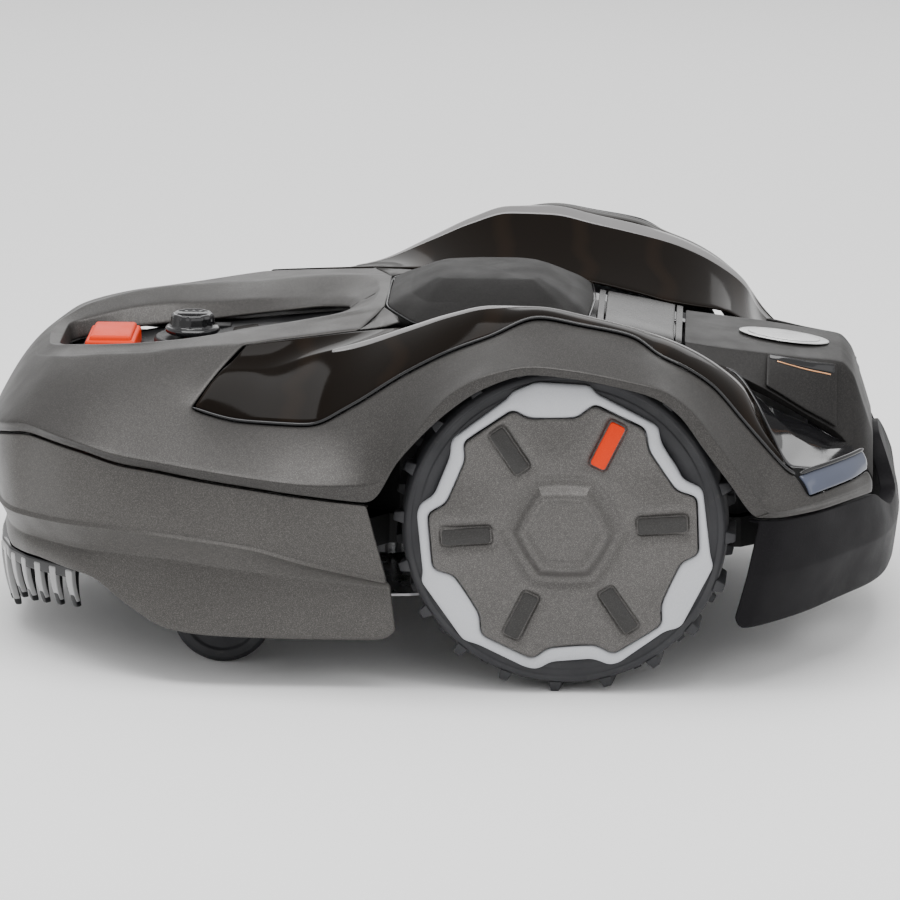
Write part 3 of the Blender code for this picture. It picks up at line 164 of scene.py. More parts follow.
DOME_CREST = [(6, 0, 278.2), (6, 30, 277.6), (1, 36, 277.6), (-25, 38, 278.4), (-55, 38, 278.4),
              (-68, 36, 277.6), (-72, 28, 277.6), (-73, 0, 278)]
INNER_DECK = [
    ((18, 93, 248), (18, 60, 246), (18, 0, 246)),
    ((-60, 94, 245), (-60, 60, 241), (-60, 0, 241)),
    ((-113, 87, 240), (-113, 66, 238), (-113, 0, 238)),
    ((-184, 84, 224), (-184, 68, 221), (-184, 0, 221)),
]
VALLEY = [
    ((-184, 84, 224), (-184, 76, 221.5), (-184, 68, 221)),
    ((-226, 87, 219), (-226, 84, 209), (-226, 76, 202)),
    ((-246, 116, 201), (-250, 96, 196), (-250, 82, 191)),
    ((-258, 150, 183), (-266, 118, 183), (-266, 78, 182)),
    ((-273, 196, 168), (-285, 140, 174), (-288, 74, 172)),
    ((-292, 199, 168), (-302, 145, 171), (-306, 72, 162)),
    ((-325, 147, 168), (-322, 120, 166), (-320, 76, 156)),
]
# Rear module at distances behind the origin: top z, edge y and z, shoulder y and z, bottom z
MODULE = {
    189: (234, 56, 232.5, 64, 227, 223.5), 226: (229.5, 57, 227.5, 78, 214, 206),
    252: (226, 57, 224.5, 86, 203, 196), 285: (221.5, 55, 220, 79, 181, 176),
    312: (218, 51, 216.5, 73, 163, 157), 322: (209, 50, 207, 72, 150, 144),
    331: (184, 49, 182, 74, 140, 134), 339: (160, 44, 157, 72, 128, 122),
}
# Outer and inner outline of the wheel's light ring: (forward, up) from the axle
RING_OUTER = [
    (39.4, 107.7), (21.9, 115.3), (-18.6, 113.4), (-24.1, 106.8), (-71, 82.1), (-72.9, 69.7),
    (-90.3, 40.3), (-105.1, 33.6), (-111.5, -19.6), (-113.9, -28.1), (-89.4, -76.6), (-77.5, -79.4),
    (-42.5, -105.1), (-35.1, -107), (-22.3, -102.2), (9.9, -105.1), (20.1, -111.3), (29.3, -109.8),
    (66.1, -91.8), (77.1, -88.9), (109.3, -42.4), (108, -35.7), (112.6, 10.8), (110.2, 18.4),
    (99.2, 26), (87.2, 56.4), (86.3, 69.7), (44, 102),
]
RING_INNER = [
    (39.4, 93.5), (27.4, 86.8), (-9.4, 87.8), (-22.3, 98.6), (-60.9, 80.2), (-63.7, 63.1),
    (-84.8, 31.7), (-100.5, 27), (-102.3, -17.7), (-89.4, -24.3), (-73.8, -58.5), (-74.7, -73.7),
    (-37.9, -97.5), (-25, -90.8), (12.7, -93.7), (23.7, -102.2), (63.3, -83.2), (64.2, -68),
    (84.5, -36.7), (100.1, -31.9), (103.8, 11.8), (90, 19.4), (75.3, 54.5), (76.7, 67.8),
]


# ---- mesh helpers

def along(line, station):
    """Point at a station of a feature line, by monotone cubic interpolation between its control points."""
    u = np.array(sorted(line), float)
    p = np.array([line[k] for k in sorted(line)], float)
    h = np.diff(u)[:, None]
    d = np.diff(p, axis=0) / h
    same = d[:-1] * d[1:] > 0
    safe = np.where(same, d[:-1] + d[1:], 1.0)
    slopes = np.vstack([d[:1], np.where(same, 2 * d[:-1] * d[1:] / safe, 0.0), d[-1:]])
    i = int(np.clip(np.searchsorted(u, station, side="right") - 1, 0, len(u) - 2))
    t = (station - u[i]) / h[i, 0]
    start = (2 * t**3 - 3 * t**2 + 1) * p[i] + (t**3 - 2 * t**2 + t) * h[i, 0] * slopes[i]
    return start + (3 * t**2 - 2 * t**3) * p[i + 1] + (t**3 - t**2) * h[i, 0] * slopes[i + 1]


def fine(line, first, last, step=STATION_STEP):
    """Evenly spaced points of a feature line between two stations."""
    count = max(round(abs(last - first) / step), 1)
    return [along(line, first + (last - first) * i / count) for i in range(count + 1)]


def between(low, high, t, bulge):
    """Row of points part of the way from one row to another, pushed out along the surface normal."""
    rows = []
    last = len(low) - 1
    for i, (a, b) in enumerate(zip(low, high)):
        run = low[min(i + 1, last)] - low[max(i - 1, 0)]
        out = np.cross(run, b - a)
        out = out / max(np.linalg.norm(out), 1e-9)
        rows.append(a + (b - a) * t + out * bulge)
    return rows


def loft(lines, bulges, shares=ROW_SHARES):
    """Rows across a panel, from one feature line to the next, each band with its own bulge."""
    rows = []
    for low, high, bulge in zip(lines, lines[1:], bulges):
        rows += [between(low, high, t, 4 * bulge * t * (1 - t)) if t else low for t in shares]
    return rows + [lines[-1]]


def both_sides(row):
    """Row from the right edge to the left edge, from its left half."""
    mirrored = [p * np.array([1, -1, 1]) for p in row[:0:-1]]
    return mirrored + list(row)


def shifted(points, *offset):
    return [p + np.array(offset) for p in points]


def turn(count):
    """Evenly spaced angles of one full turn."""
    return [math.tau * k / count for k in range(count)]


class Sheet:
    """An open surface that is gathered from grids of points."""

    def __init__(self):
        self.points = []
        self.faces = []

    def add_points(self, row):
        start = len(self.points)
        self.points += [np.array(p, float) for p in row]
        return list(range(start, len(self.points)))

    def add_grid(self, rows, closed=False):
        ids = [self.add_points(row) for row in rows]
        for low, high in zip(ids, ids[1:]):
            for s in range(len(low) - (0 if closed else 1)):
                e = (s + 1) % len(low)
                self.faces.append((low[s], low[e], high[e], high[s]))
        return ids

    def add_both(self, rows):
        """Grid across the mower, from its left half."""
        self.add_grid([both_sides(row) for row in rows])

    def add_side(self, rows, sign):
        """Grid on the left side (sign 1), or its mirror image on the right side (-1)."""
        self.add_grid([[p * (1, sign, 1) for p in row][::sign] for row in rows])

    def mesh(self, merge=0.02):
        bm = bmesh.new()
        verts = [bm.verts.new(p) for p in self.points]
        for face in self.faces:
            bm.faces.new([verts[i] for i in face])
        bmesh.ops.remove_doubles(bm, verts=bm.verts, dist=merge)
        bmesh.ops.dissolve_degenerate(bm, edges=bm.edges, dist=merge)
        return bm


def open_sheet(rows):
    sheet = Sheet()
    sheet.add_grid(rows)
    return sheet.mesh()


def outward(bm):
    bmesh.ops.recalc_face_normals(bm, faces=bm.faces)
    return bm


def capped(rows, merge=0.001):
    """Solid whose skin runs through closed rings, the first and the last one filled."""
    sheet = Sheet()
    ids = sheet.add_grid(rows, closed=True)
    sheet.faces += [ids[0][::-1], ids[-1]]
    return outward(sheet.mesh(merge))


def looped(rows, merge=0.001):
    """Solid whose skin runs through closed rings and back to the first one."""
    sheet = Sheet()
    sheet.add_grid(rows + rows[:1], closed=True)
    return outward(sheet.mesh(merge))


def thicken(bm, thickness):
    """Turns an open sheet into a closed shell by adding an inner skin and a rim."""
    bm.normal_update()
    inner = {v: bm.verts.new(v.co - v.normal * thickness) for v in list(bm.verts)}
    faces = list(bm.faces)
    rims = []
    for loop in [e.link_loops[0] for e in bm.edges if len(e.link_faces) == 1]:
        a, b = loop.vert, loop.link_loop_next.vert
        rims.append((b, a, inner[a], inner[b]))
    for face in faces:
        bm.faces.new([inner[v] for v in reversed(face.verts)])
    for rim in rims:
        bm.faces.new(rim)
    return bm


def face_up(bm):
    """Turns an open sheet so that its faces look upwards."""
    outward(bm)
    if sum(f.normal.z * f.calc_area() for f in bm.faces) < 0:
        bmesh.ops.reverse_faces(bm, faces=bm.faces)
    return bm


def block(low, high, bevel=1.0, segments=3, taper=(1.0, 1.0)):
    """Rounded box between two corners, its top scaled by taper."""
    bm = bmesh.new()
    bmesh.ops.create_cube(bm, size=1.0)
    for v in bm.verts:
        for axis in range(2):
            v.co[axis] *= taper[axis] if v.co[2] > 0 else 1.0
    bmesh.ops.scale(bm, verts=bm.verts, vec=[b - a for a, b in zip(low, high)])
    bmesh.ops.translate(bm, verts=bm.verts, vec=[(a + b) / 2 for a, b in zip(low, high)])
    bmesh.ops.bevel(bm, geom=bm.edges[:], offset=bevel, segments=segments, profile=0.5, affect="EDGES",
                    clamp_overlap=True)
    return bm


def corner(a, p, b, radius, steps):
    """Points of the quadratic curve that rounds the corner p between a and b."""
    to_a, to_b = a - p, b - p
    reach = min(radius, np.linalg.norm(to_a) * 0.45, np.linalg.norm(to_b) * 0.45)
    start = p + to_a / np.linalg.norm(to_a) * reach
    end = p + to_b / np.linalg.norm(to_b) * reach
    shares = [k / steps for k in range(steps + 1)]
    return [(1 - t) ** 2 * start + 2 * t * (1 - t) * p + t * t * end for t in shares]


def rounded(points, radius, steps=4):
    """Closed outline with its corners rounded."""
    points = [np.array(p, float) for p in points]
    out = []
    for i, p in enumerate(points):
        out += corner(points[i - 1], p, points[(i + 1) % len(points)], radius, steps)
    return out


def plate(outline, low, high, edge, place_point):
    """Solid between two heights with a rounded rim; place_point maps (u, v, height) to a point."""
    centre = np.mean(outline, axis=0)
    step = edge * 0.3
    levels = ((low, edge), (low + step, step), (low + edge, 0),
              (high - edge, 0), (high - step, step), (high, edge))
    rows = []
    for height, inset in levels:
        inward = [p - (p - centre) * inset / np.linalg.norm(p - centre) for p in outline]
        rows.append([place_point(*p, height) for p in inward])
    return capped(rows)


def turned(profile, segments, centre, axis=2):
    """Solid turned about an axis through centre; profile is (radius, height), pole to pole or all round."""
    rows = []
    for radius, height in profile:
        circle = [(radius * math.cos(a), radius * math.sin(a)) for a in turn(segments)]
        rows.append([np.array(centre) + ((u, height, v) if axis == 1 else (u, v, height)) for u, v in circle])
    return looped(rows, 0.003)


def smooth_profile(points, radius=1.2, steps=3):
    """Turning profile with its corners rounded, its two ends kept."""
    points = [np.array(p, float) for p in points]
    out = points[:1]
    for a, p, b in zip(points, points[1:], points[2:]):
        out += corner(a, p, b, radius, steps)
    return out + points[-1:]


def tube(path, radius, sides=8):
    """Closed bead along a path of points."""
    rows = []
    last = len(path) - 1
    for i, p in enumerate(path):
        run = path[min(i + 1, last)] - path[max(i - 1, 0)]
        run = run / np.linalg.norm(run)
        side = np.cross(run, (0, 0, 1.0))
        side = side / max(np.linalg.norm(side), 1e-6)
        up = np.cross(side, run)
        r = radius * (0.45 if i in (0, last) else 1.0)
        rows.append([p + (side * math.cos(a) + up * math.sin(a)) * r for a in turn(sides)])
    return capped(rows)


def joined(parts):
    """Several bmeshes in one."""
    mesh = bpy.data.meshes.new("joined")
    whole = bmesh.new()
    for part in parts:
        part.to_mesh(mesh)
        part.free()
        whole.from_mesh(mesh)
    bpy.data.meshes.remove(mesh)
    return whole


def show(name, data):
    obj = bpy.data.objects.new(name, data)
    bpy.context.scene.collection.objects.link(obj)
    return obj


def mesh_of(name, bm, mat):
    mesh = bpy.data.meshes.new(name)
    bm.to_mesh(mesh)
    bm.free()
    mesh.materials.append(mat)
    return mesh


def piece(name, bm, look, body, nodes=(), level=1):
    """Shown piece that rides on a body and stands for CAD nodes."""
    bmesh.ops.scale(bm, verts=bm.verts, vec=(MM, MM, MM))
    mesh = mesh_of(name, bm, MATS[look])
    mesh.shade_smooth()
    obj = show(name, mesh)
    if level:
        modifier = obj.modifiers.new("smooth", "SUBSURF")
        modifier.levels = level
        modifier.render_levels = level
    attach(obj, body)
    if nodes:
        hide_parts(*nodes)


def mirrored_pair(build, name, look, body, node=None, slot=None, level=1):
    """Left and right pieces from one builder of a left-side mesh."""
    for side in ("left", "right"):
        bm = build()
        if side == "right":
            bmesh.ops.scale(bm, verts=bm.verts, vec=(1, -1, 1))
            bmesh.ops.reverse_faces(bm, faces=bm.faces)
        piece(f"{name}_{side}", bm, look, body.format(side), [f"{node}_{side}"] if node else (), level)


# ---- materials

class Finish:
    """A Principled material whose colour, roughness and relief come from procedural textures."""

    def __init__(self, name, colour, roughness, metallic=0.0):
        self.mat = bpy.data.materials.new(name)
        self.mat.use_nodes = True
        self.tree = self.mat.node_tree
        self.shader = self.tree.nodes["Principled BSDF"]
        self.shader.inputs["Metallic"].default_value = metallic
        self.coords = self.tree.nodes.new("ShaderNodeTexCoord").outputs["Object"]
        self.roughness = roughness
        self.colour = self.tree.nodes.new("ShaderNodeRGB").outputs[0]
        self.colour.default_value = (*colour, 1.0)
        self.relief = None

    def node(self, kind, values, **links):
        node = self.tree.nodes.new(kind)
        for key, value in values.items():
            node.inputs[key].default_value = value
        for key, source in links.items():
            self.tree.links.new(source, node.inputs[key])
        return node

    def texture(self, kind, scale, stretch=None, **values):
        coords = self.coords
        if stretch:
            coords = self.node("ShaderNodeMapping", {"Scale": stretch}, Vector=coords).outputs["Vector"]
        return self.node(kind, {"Scale": scale, **values}, Vector=coords)

    def ramp(self, source, low, high, to_low, to_high):
        limits = {"From Min": low, "From Max": high, "To Min": to_low, "To Max": to_high}
        return self.node("ShaderNodeMapRange", limits, Value=source).outputs["Result"]

    def mix_colour(self, factor, colour):
        node = self.tree.nodes.new("ShaderNodeMix")
        node.data_type = "RGBA"
        slots = [s for s in node.inputs if s.type == "RGBA"]
        self.tree.links.new(factor, node.inputs[0])
        self.tree.links.new(self.colour, slots[0])
        slots[1].default_value = (*colour, 1.0)
        self.colour = [s for s in node.outputs if s.type == "RGBA"][0]

    def bump(self, height, strength, distance):
        node = self.node("ShaderNodeBump", {"Strength": strength, "Distance": distance}, Height=height)
        if self.relief is not None:
            self.tree.links.new(self.relief, node.inputs["Normal"])
        self.relief = node.outputs["Normal"]

    def mottle(self, scale, colour, amount):
        noise = self.texture("ShaderNodeTexNoise", scale, Detail=6.0)
        self.mix_colour(self.ramp(noise.outputs["Fac"], 0.35, 0.7, 0.0, amount), colour)

    def grain(self, scale, strength, distance):
        noise = self.texture("ShaderNodeTexNoise", scale, Detail=3.0)
        self.bump(noise.outputs["Fac"], strength, distance)

    def flakes(self, scale, colour, amount):
        cells = self.texture("ShaderNodeTexVoronoi", scale)
        split = self.node("ShaderNodeSeparateColor", {}, Color=cells.outputs["Color"])
        self.mix_colour(self.ramp(split.outputs[0], 0.55, 1.0, 0.0, amount), colour)
        self.bump(split.outputs[1], 0.12, 0.00006)

    def speckle(self, scale, colour, low, amount):
        """Sparse specks of dust."""
        noise = self.texture("ShaderNodeTexNoise", scale, Detail=8.0, Roughness=0.7)
        self.mix_colour(self.ramp(noise.outputs["Fac"], low, low + 0.08, 0.0, amount), colour)

    def done(self, spread=0.08, scale=35.0):
        """Finished material, its roughness varied by spread either way."""
        noise = self.texture("ShaderNodeTexNoise", scale, Detail=8.0)
        smoothest = max(self.roughness - spread, 0.02)
        rough = self.ramp(noise.outputs["Fac"], 0.3, 0.7, smoothest, self.roughness + spread)
        self.tree.links.new(rough, self.shader.inputs["Roughness"])
        self.tree.links.new(self.colour, self.shader.inputs["Base Color"])
        if self.relief is not None:
            self.tree.links.new(self.relief, self.shader.inputs["Normal"])
        return self.mat


def metallic_paint(name, colour, light, relief=0.10):
    f = Finish(name, colour, 0.42, metallic=0.5)
    f.mottle(9.0, tuple(c * 0.86 for c in colour), 0.5)
    f.flakes(2800.0, light, 0.5)
    f.grain(700.0, relief, 0.0003)
    f.speckle(160.0, (0.32, 0.30, 0.26), 0.68, 0.25)
    return f.done(0.05)


def textured_plastic(name, colour, light, relief=0.35, roughness=0.5, shine=0.25):
    f = Finish(name, colour, roughness)
    f.shader.inputs["Specular IOR Level"].default_value = shine
    f.mottle(11.0, tuple(c * 0.8 for c in colour), 0.5)
    f.flakes(2600.0, light, 0.45)
    f.grain(900.0, relief, 0.0004)
    f.speckle(220.0, (0.3, 0.28, 0.25), 0.69, 0.2)
    return f.done(0.06)


def gloss(name, colour, roughness=0.07, streak=None, shine=0.5):
    f = Finish(name, colour, roughness)
    f.mottle(14.0, tuple(c * 0.7 for c in colour), 0.4)
    f.shader.inputs["Specular IOR Level"].default_value = shine
    if streak:
        wave = f.texture("ShaderNodeTexWave", 9.0, stretch=(0.5, 1.0, 1.6), Distortion=4.0, Detail=2.0)
        f.mix_colour(f.ramp(wave.outputs["Fac"], 0.82, 1.0, 0.0, 0.2), streak)
    f.grain(30.0, 0.03, 0.001)
    f.speckle(420.0, (0.4, 0.38, 0.35), 0.71, 0.35)
    return f.done(0.03, 60.0)


def metal(name, colour, roughness, stretch):
    f = Finish(name, colour, roughness, metallic=1.0)
    brushed = f.texture("ShaderNodeTexNoise", 60.0, stretch=stretch, Detail=6.0)
    f.bump(brushed.outputs["Fac"], 0.12, 0.0002)
    f.mottle(25.0, tuple(c * 0.75 for c in colour), 0.5)
    return f.done(0.1)


def tyre_rubber(name):
    f = Finish(name, (0.017, 0.017, 0.020), 0.6)
    f.mottle(22.0, (0.011, 0.011, 0.0125), 0.7)
    f.grain(600.0, 0.4, 0.0004)
    f.grain(70.0, 0.15, 0.0008)
    f.speckle(90.0, (0.06, 0.057, 0.05), 0.6, 0.3)
    return f.done(0.1)


MATS = {
    "body": metallic_paint("body_metallic_look", (0.031, 0.029, 0.0275), (0.125, 0.119, 0.112)),
    "skirt": metallic_paint("skirt_metallic_look", (0.052, 0.049, 0.046), (0.18, 0.171, 0.16)),
    "hub": metallic_paint("hub_look", (0.078, 0.074, 0.071), (0.26, 0.248, 0.236), 0.25),
    "grey": textured_plastic("textured_grey_look", (0.013, 0.0122, 0.0118), (0.055, 0.051, 0.049),
                             0.3, 0.48, 0.2),
    "dome": textured_plastic("dome_look", (0.0078, 0.0074, 0.0072), (0.034, 0.032, 0.031), 0.3, 0.5, 0.12),
    "bumper": textured_plastic("bumper_look", (0.0042, 0.0038, 0.0048), (0.012, 0.0110, 0.0128),
                               0.4, 0.52, 0.10),
    "chassis": textured_plastic("chassis_look", (0.012, 0.012, 0.0125), (0.022, 0.022, 0.0225), 0.3, 0.5),
    "tray": textured_plastic("tray_look", (0.008, 0.008, 0.0085), (0.018, 0.018, 0.018), 0.3, 0.42),
    "window": gloss("window_look", (0.0065, 0.0047, 0.0035), 0.10, (0.024, 0.014, 0.008), 0.055),
    "black": gloss("gloss_black_look", (0.010, 0.010, 0.011)),
    "panel": gloss("gloss_grey_look", (0.022, 0.021, 0.0205), 0.27, None, 0.26),
    # The ridge look's light grey is a painted highlight: the overhead light's reflection along the arch tops
    "ridge": gloss("ridge_painted_highlight_look", (0.19, 0.185, 0.185), 0.16),
    "lamp": gloss("lamp_look", (0.07, 0.08, 0.115), 0.08),
    "silver": metal("silver_look", (0.62, 0.62, 0.62), 0.28, (1.0, 20.0, 1.0)),
    "copper": metal("copper_look", (0.80, 0.42, 0.22), 0.25, (1.0, 20.0, 1.0)),
    "steel": metal("steel_look", (0.58, 0.58, 0.58), 0.25, (1.0, 20.0, 1.0)),
    "disc": metal("disc_look", (0.42, 0.42, 0.43), 0.3, (20.0, 1.0, 1.0)),
    "motor": metal("motor_look", (0.45, 0.45, 0.46), 0.4, (1.0, 8.0, 1.0)),
    "ring": textured_plastic("ring_look", (0.50, 0.51, 0.535), (0.60, 0.60, 0.62), 0.06, 0.36),
    "tyre": tyre_rubber("tyre_look"),
    "rubber": tyre_rubber("rubber_look"),
    "orange": textured_plastic("orange_look", (0.74, 0.034, 0.0), (0.80, 0.05, 0.002), 0.06, 0.42, 0.15),
    "pad": textured_plastic("pad_look", (0.030, 0.029, 0.028), (0.08, 0.076, 0.072), 0.25, 0.4),
    "board": textured_plastic("board_look", (0.015, 0.10, 0.04), (0.03, 0.16, 0.07), 0.1, 0.35),
    "battery": textured_plastic("battery_look", (0.03, 0.03, 0.036), (0.05, 0.05, 0.06), 0.2, 0.45),
    "prong": gloss("prong_look", (0.36, 0.36, 0.36), 0.14),
}


# ---- body panels

def top_cover():
    gap, crease, trim = (fine(line, 0, 23) for line in (GAP_LINE, CREASE, TRIM_LINE))
    sheet = Sheet()
    sheet.add_both(loft([gap, crease, trim], [0.4, 3.5]))
    sheet.add_both(loft([fine(TRIM_LINE, 0, 9), fine(WINDOW_TOP, 0, 9)], [4.0]))
    rim, bank, recess = (fine(line, 0, 14) for line in (RIM, BANK, RECESS))
    deck = fine(WINDOW_TOP, 0, 12)
    front = round(11 / STATION_STEP)
    lip = between(rim[:front], deck[:front], 0.32, 0.6) + fine(DECK_EDGE, 11, 14)
    sheet.add_both(loft([deck, lip[:len(deck)]], [0.4], (0.0, 0.1, 0.5, 0.9)))
    sheet.add_both(loft([lip, rim, bank, recess], [0.3, -0.6, 0.4], (0.0, 0.12, 0.5, 0.88)))
    for sign in (1, -1):
        filler = [p * (1, sign, 1) for p in (lip[len(deck) - 1], deck[-1], along(WINDOW_TOP, 13))]
        ids = sheet.add_points(filler)
        sheet.faces.append(ids if sign < 0 else ids[::-1])
    add_rear_corner(sheet, loft([crease, trim], [3.5]))
    bm = sheet.mesh()
    fair(bm, (GAP_LINE, CREASE, RIM, BANK, RECESS, DECK_EDGE, WINDOW_TOP))
    piece("top_cover_shell", thicken(bm, SHELL_T), "body", "body_shell", ["top_cover"])


# Vertices nearer than this to a feature line keep their place in fairing
MARK_REACH = 2.6
FAIR_ROUNDS = 40


def fair(bm, lines):
    """Evens out a panel's surface while its edges and character lines stay where they are."""
    left = [p for line in lines for p in fine(line, min(line), max(line), 0.05)]
    marks = [p * (1, sign, 1) for p in left for sign in (1, -1)]
    tree = KDTree(len(marks))
    for i, p in enumerate(marks):
        tree.insert(p, i)
    tree.balance()
    free = [v for v in bm.verts if not v.is_boundary and tree.find(v.co)[2] > MARK_REACH]
    for _ in range(FAIR_ROUNDS):
        bmesh.ops.smooth_vert(bm, verts=free, factor=0.5, use_axis_x=True, use_axis_y=True, use_axis_z=True)


def add_rear_corner(sheet, side_rows):
    """The band that runs below each rear lamp, on both sides."""
    gap, crease = fine(GAP_LINE, 23, 27), fine(CREASE, 23, 27)
    half = len(side_rows) // 2
    waist = side_rows[half][-1]
    lamp_edge = shifted(fine(LAMP_BOTTOM, 24, 27), 0, 0, -1.3)
    bridge = round(1 / STATION_STEP)
    upper = [waist + (lamp_edge[0] - waist) * k / bridge for k in range(bridge)] + lamp_edge
    column = [row[-1] for row in side_rows[half:]]
    lower = loft([gap, crease], [0.4])
    middle = loft([crease, upper], [1.0], [t / ROW_SHARES[half] for t in ROW_SHARES[:half]])
    for row, side in zip(middle, side_rows):
        row[0] = side[-1]
    tip = along(TRIM_LINE, 24)
    last = len(column) - 1
    end = [lamp_edge[0] + (tip - lamp_edge[0]) * k / last for k in range(last + 1)]
    strips = [[a + (b - a) * k / bridge for k in range(bridge + 1)] for a, b in zip(column, end)]
    for sign in (1, -1):
        sheet.add_side(lower, sign)
        sheet.add_side(middle, sign)
        sheet.add_side(strips, sign)


# Scale of the inward lips behind the seams of the skirt and the bumper
SKIRT_LIP = (0.97, 0.97, 1)
BUMPER_LIP = (0.965, 0.965, 1)


def skirt():
    top = shifted(fine(GAP_LINE, 0, 12), 0, 0, -2.2)
    hem, waist, crease = (fine(line, 0, 12) for line in (SKIRT_HEM, SKIRT_WAIST, SKIRT_CREASE))
    waist = between(waist, crease, 0.0, -4.4)
    groove = between(crease, top, 0.055, -2.0)
    lip = shifted([p * SKIRT_LIP for p in top], 0, 0, -0.8)
    rows = loft([hem, waist, crease, groove, top, lip], [1.8, -0.8, 0.0, 0.9, 0.0])
    bm = open_sheet([both_sides(row) for row in rows])
    piece("skirt_shell", thicken(bm, SHELL_T), "skirt", "body_shell", ["skirt"])


def rear_bumper():
    lines = [fine(line, 10, 0) for line in (BUMPER_TOP, BUMPER_MID, BUMPER_HEM)]
    lip = shifted([p * BUMPER_LIP for p in lines[0]], 0, 0, -0.6)
    bm = open_sheet([both_sides(row) for row in loft([lip] + lines, [0.0, 0.3, 0.3])])
    piece("rear_bumper_shell", thicken(bm, SHELL_T), "bumper", "body_shell", ["rear_bumper"])


def trim_rows():
    """Outer edge, ridge and inner foot of an arch window."""
    edge = shifted(fine(TRIM_LINE, 9, 23), 0, -1.6, 1.2)
    ridge = fine(RIDGE, 9, 23)
    foot = shifted(fine(ARCH_FOOT, 9, 23), 0, 4.8, 0)
    for row in (edge, ridge, foot):
        row[0] = row[0] - np.array((2.0, 0, 0))
    return edge, ridge, foot


# Outward bulge of the arch window's outer and inner bands, then width and first station of the painted
# highlight band along its ridge
ARCH_BULGES = (2.5, -1.5)
HIGHLIGHT_BAND_WIDTH = 0.14
HIGHLIGHT_BAND_START = 11.4


def arch_window():
    return thicken(open_sheet(loft(trim_rows(), ARCH_BULGES)), TRIM_T)


def arch_ridge():
    """Light-grey band along the top of each arch: a painted highlight that stands for the overhead light's
    reflection on the ridge.
    """
    edge, ridge, foot = trim_rows()
    rows = []
    for share in (1.0, 0.72, 0.36, 0.0):
        t = 1 - HIGHLIGHT_BAND_WIDTH * share
        rows.append(between(edge, ridge, t, 4 * ARCH_BULGES[0] * t * (1 - t)))
    for share in (0.4, 1.0):
        t = HIGHLIGHT_BAND_WIDTH * 0.8 * share
        rows.append(between(ridge, foot, t, 4 * ARCH_BULGES[1] * t * (1 - t)))
    start = round((HIGHLIGHT_BAND_START - 9) / STATION_STEP)
    for k in range(start, len(ridge)):
        narrow = min((k - start + 1) / 10, 1.0) ** 0.5
        for row in rows:
            row[k] = ridge[k] + (row[k] - ridge[k]) * narrow + np.array((0, 0, 0.5))
    return thicken(open_sheet([row[start:] for row in rows]), 1.4)


def window_seal():
    return tube(shifted(fine(TRIM_LINE, 9, 23.9), 0, -0.6, 0.8), 1.5)


def lamp():
    return thicken(open_sheet(loft([fine(LAMP_BOTTOM, 24, 27), fine(LAMP_TOP, 24, 27)], [1.6])), 3.0)


def lamp_bezel():
    return tube(shifted(fine(LAMP_TOP, 24, 27), 0, 0, 1.2), 2.0)


def dome_ring(half):
    """Closed, softened ring of the dome from its left half."""
    left = [np.array(p, float) for p in half]
    full = left + [p * (1, -1, 1) for p in left[-2:0:-1]]
    ring = []
    for a, b in zip(full, full[1:] + full[:1]):
        ring += [a + (b - a) * k / 10 for k in range(10)]
    for _ in range(4):
        ring = [(ring[k - 1] + p * 2 + ring[(k + 1) % len(ring)]) / 4 for k, p in enumerate(ring)]
    return ring


DOME_MIDDLE = (-30, 0, 279.5)


def dome():
    rings = [dome_ring(half) for half in (DOME_EDGE, DOME_SLOPE, DOME_CREST)]
    middle = np.array(DOME_MIDDLE)
    crown = [[p + (middle - p) * t + np.array((0, 0, 0.6 * math.sin(math.pi * t))) for p in rings[2]]
             for t in (0.25, 0.5, 0.75, 0.93)]
    rows = loft(rings, [1.0, 0.8], (0.0, 0.04, 0.25, 0.5, 0.75, 0.94)) + crown
    sheet = Sheet()
    ids = sheet.add_grid(rows, closed=True)
    sheet.faces.append(ids[-1])
    bm = face_up(sheet.mesh())
    piece("dome_shell", thicken(bm, SHELL_T), "dome", "body_shell", ["dome_cover"])
    seam = shifted(rows[0], 0, 0, 0.4)
    section = ((0.2, -1.5), (0.3, 0.2), (1.6, 0.2), (1.8, -1.5))
    bead = [[p + (p - middle) / np.linalg.norm(p - middle) * r + np.array((0, 0, z)) for p in seam]
            for r, z in section]
    piece("dome_seam", looped(bead), "black", "body_shell")


# Deck panel at three stations along the mower: x, height, half width
DECK_XS = (-187, -154, -120)
DECK_ZS = (236.5, 244, 250.5)
DECK_HALVES = (64, 62, 61)
DECK_T = 2.4


def deck_strip(front, rear):
    """Part of the glossy deck between two stations along the mower."""
    rows = []
    for share in (-1.0, -0.97, -0.85, -0.5, 0.0, 0.5, 0.85, 0.97, 1.0):
        drop = 3.0 * max(abs(share) - 0.8, 0) / 0.2
        row = []
        for t in (0, 0.03, 0.15, 0.35, 0.5, 0.65, 0.85, 0.97, 1):
            x = front + (rear - front) * t
            half, z = (np.interp(x, DECK_XS, line) for line in (DECK_HALVES, DECK_ZS))
            row.append(np.array((x, share * half, z - drop)))
        rows.append(row)
    return thicken(face_up(open_sheet(rows)), DECK_T)


def deck():
    strips = joined([deck_strip(a, b) for a, b in ((-120, -125), (-126.2, -180.8), (-182, -187))])
    piece("deck_panels", strips, "panel", "body_shell", ["deck_panel"])
    sheet = Sheet()
    for sign in (1, -1):
        for sections in (INNER_DECK, VALLEY):
            lines = [fine(dict(enumerate(line)), 0, len(line) - 1, 0.125) for line in zip(*sections)]
            sheet.add_side(loft(lines, [0.0, 0.0], (0.0, 0.06, 0.35, 0.65, 0.94)), sign)
    piece("inner_deck_shell", thicken(face_up(sheet.mesh()), DECK_T), "black", "body_shell", ["inner_deck"])


def module_flank(x, t, lift):
    """Point over the module's flank at x, from the shoulder (t = 0) to the top edge (t = 1)."""
    _, edge_y, edge_z, shoulder_y, shoulder_z, _ = along(MODULE, -x)
    low, high = np.array((x, shoulder_y, shoulder_z)), np.array((x, edge_y, edge_z))
    out = np.array((0, high[2] - low[2], low[1] - high[1]))
    return low + (high - low) * t + out / np.linalg.norm(out) * lift


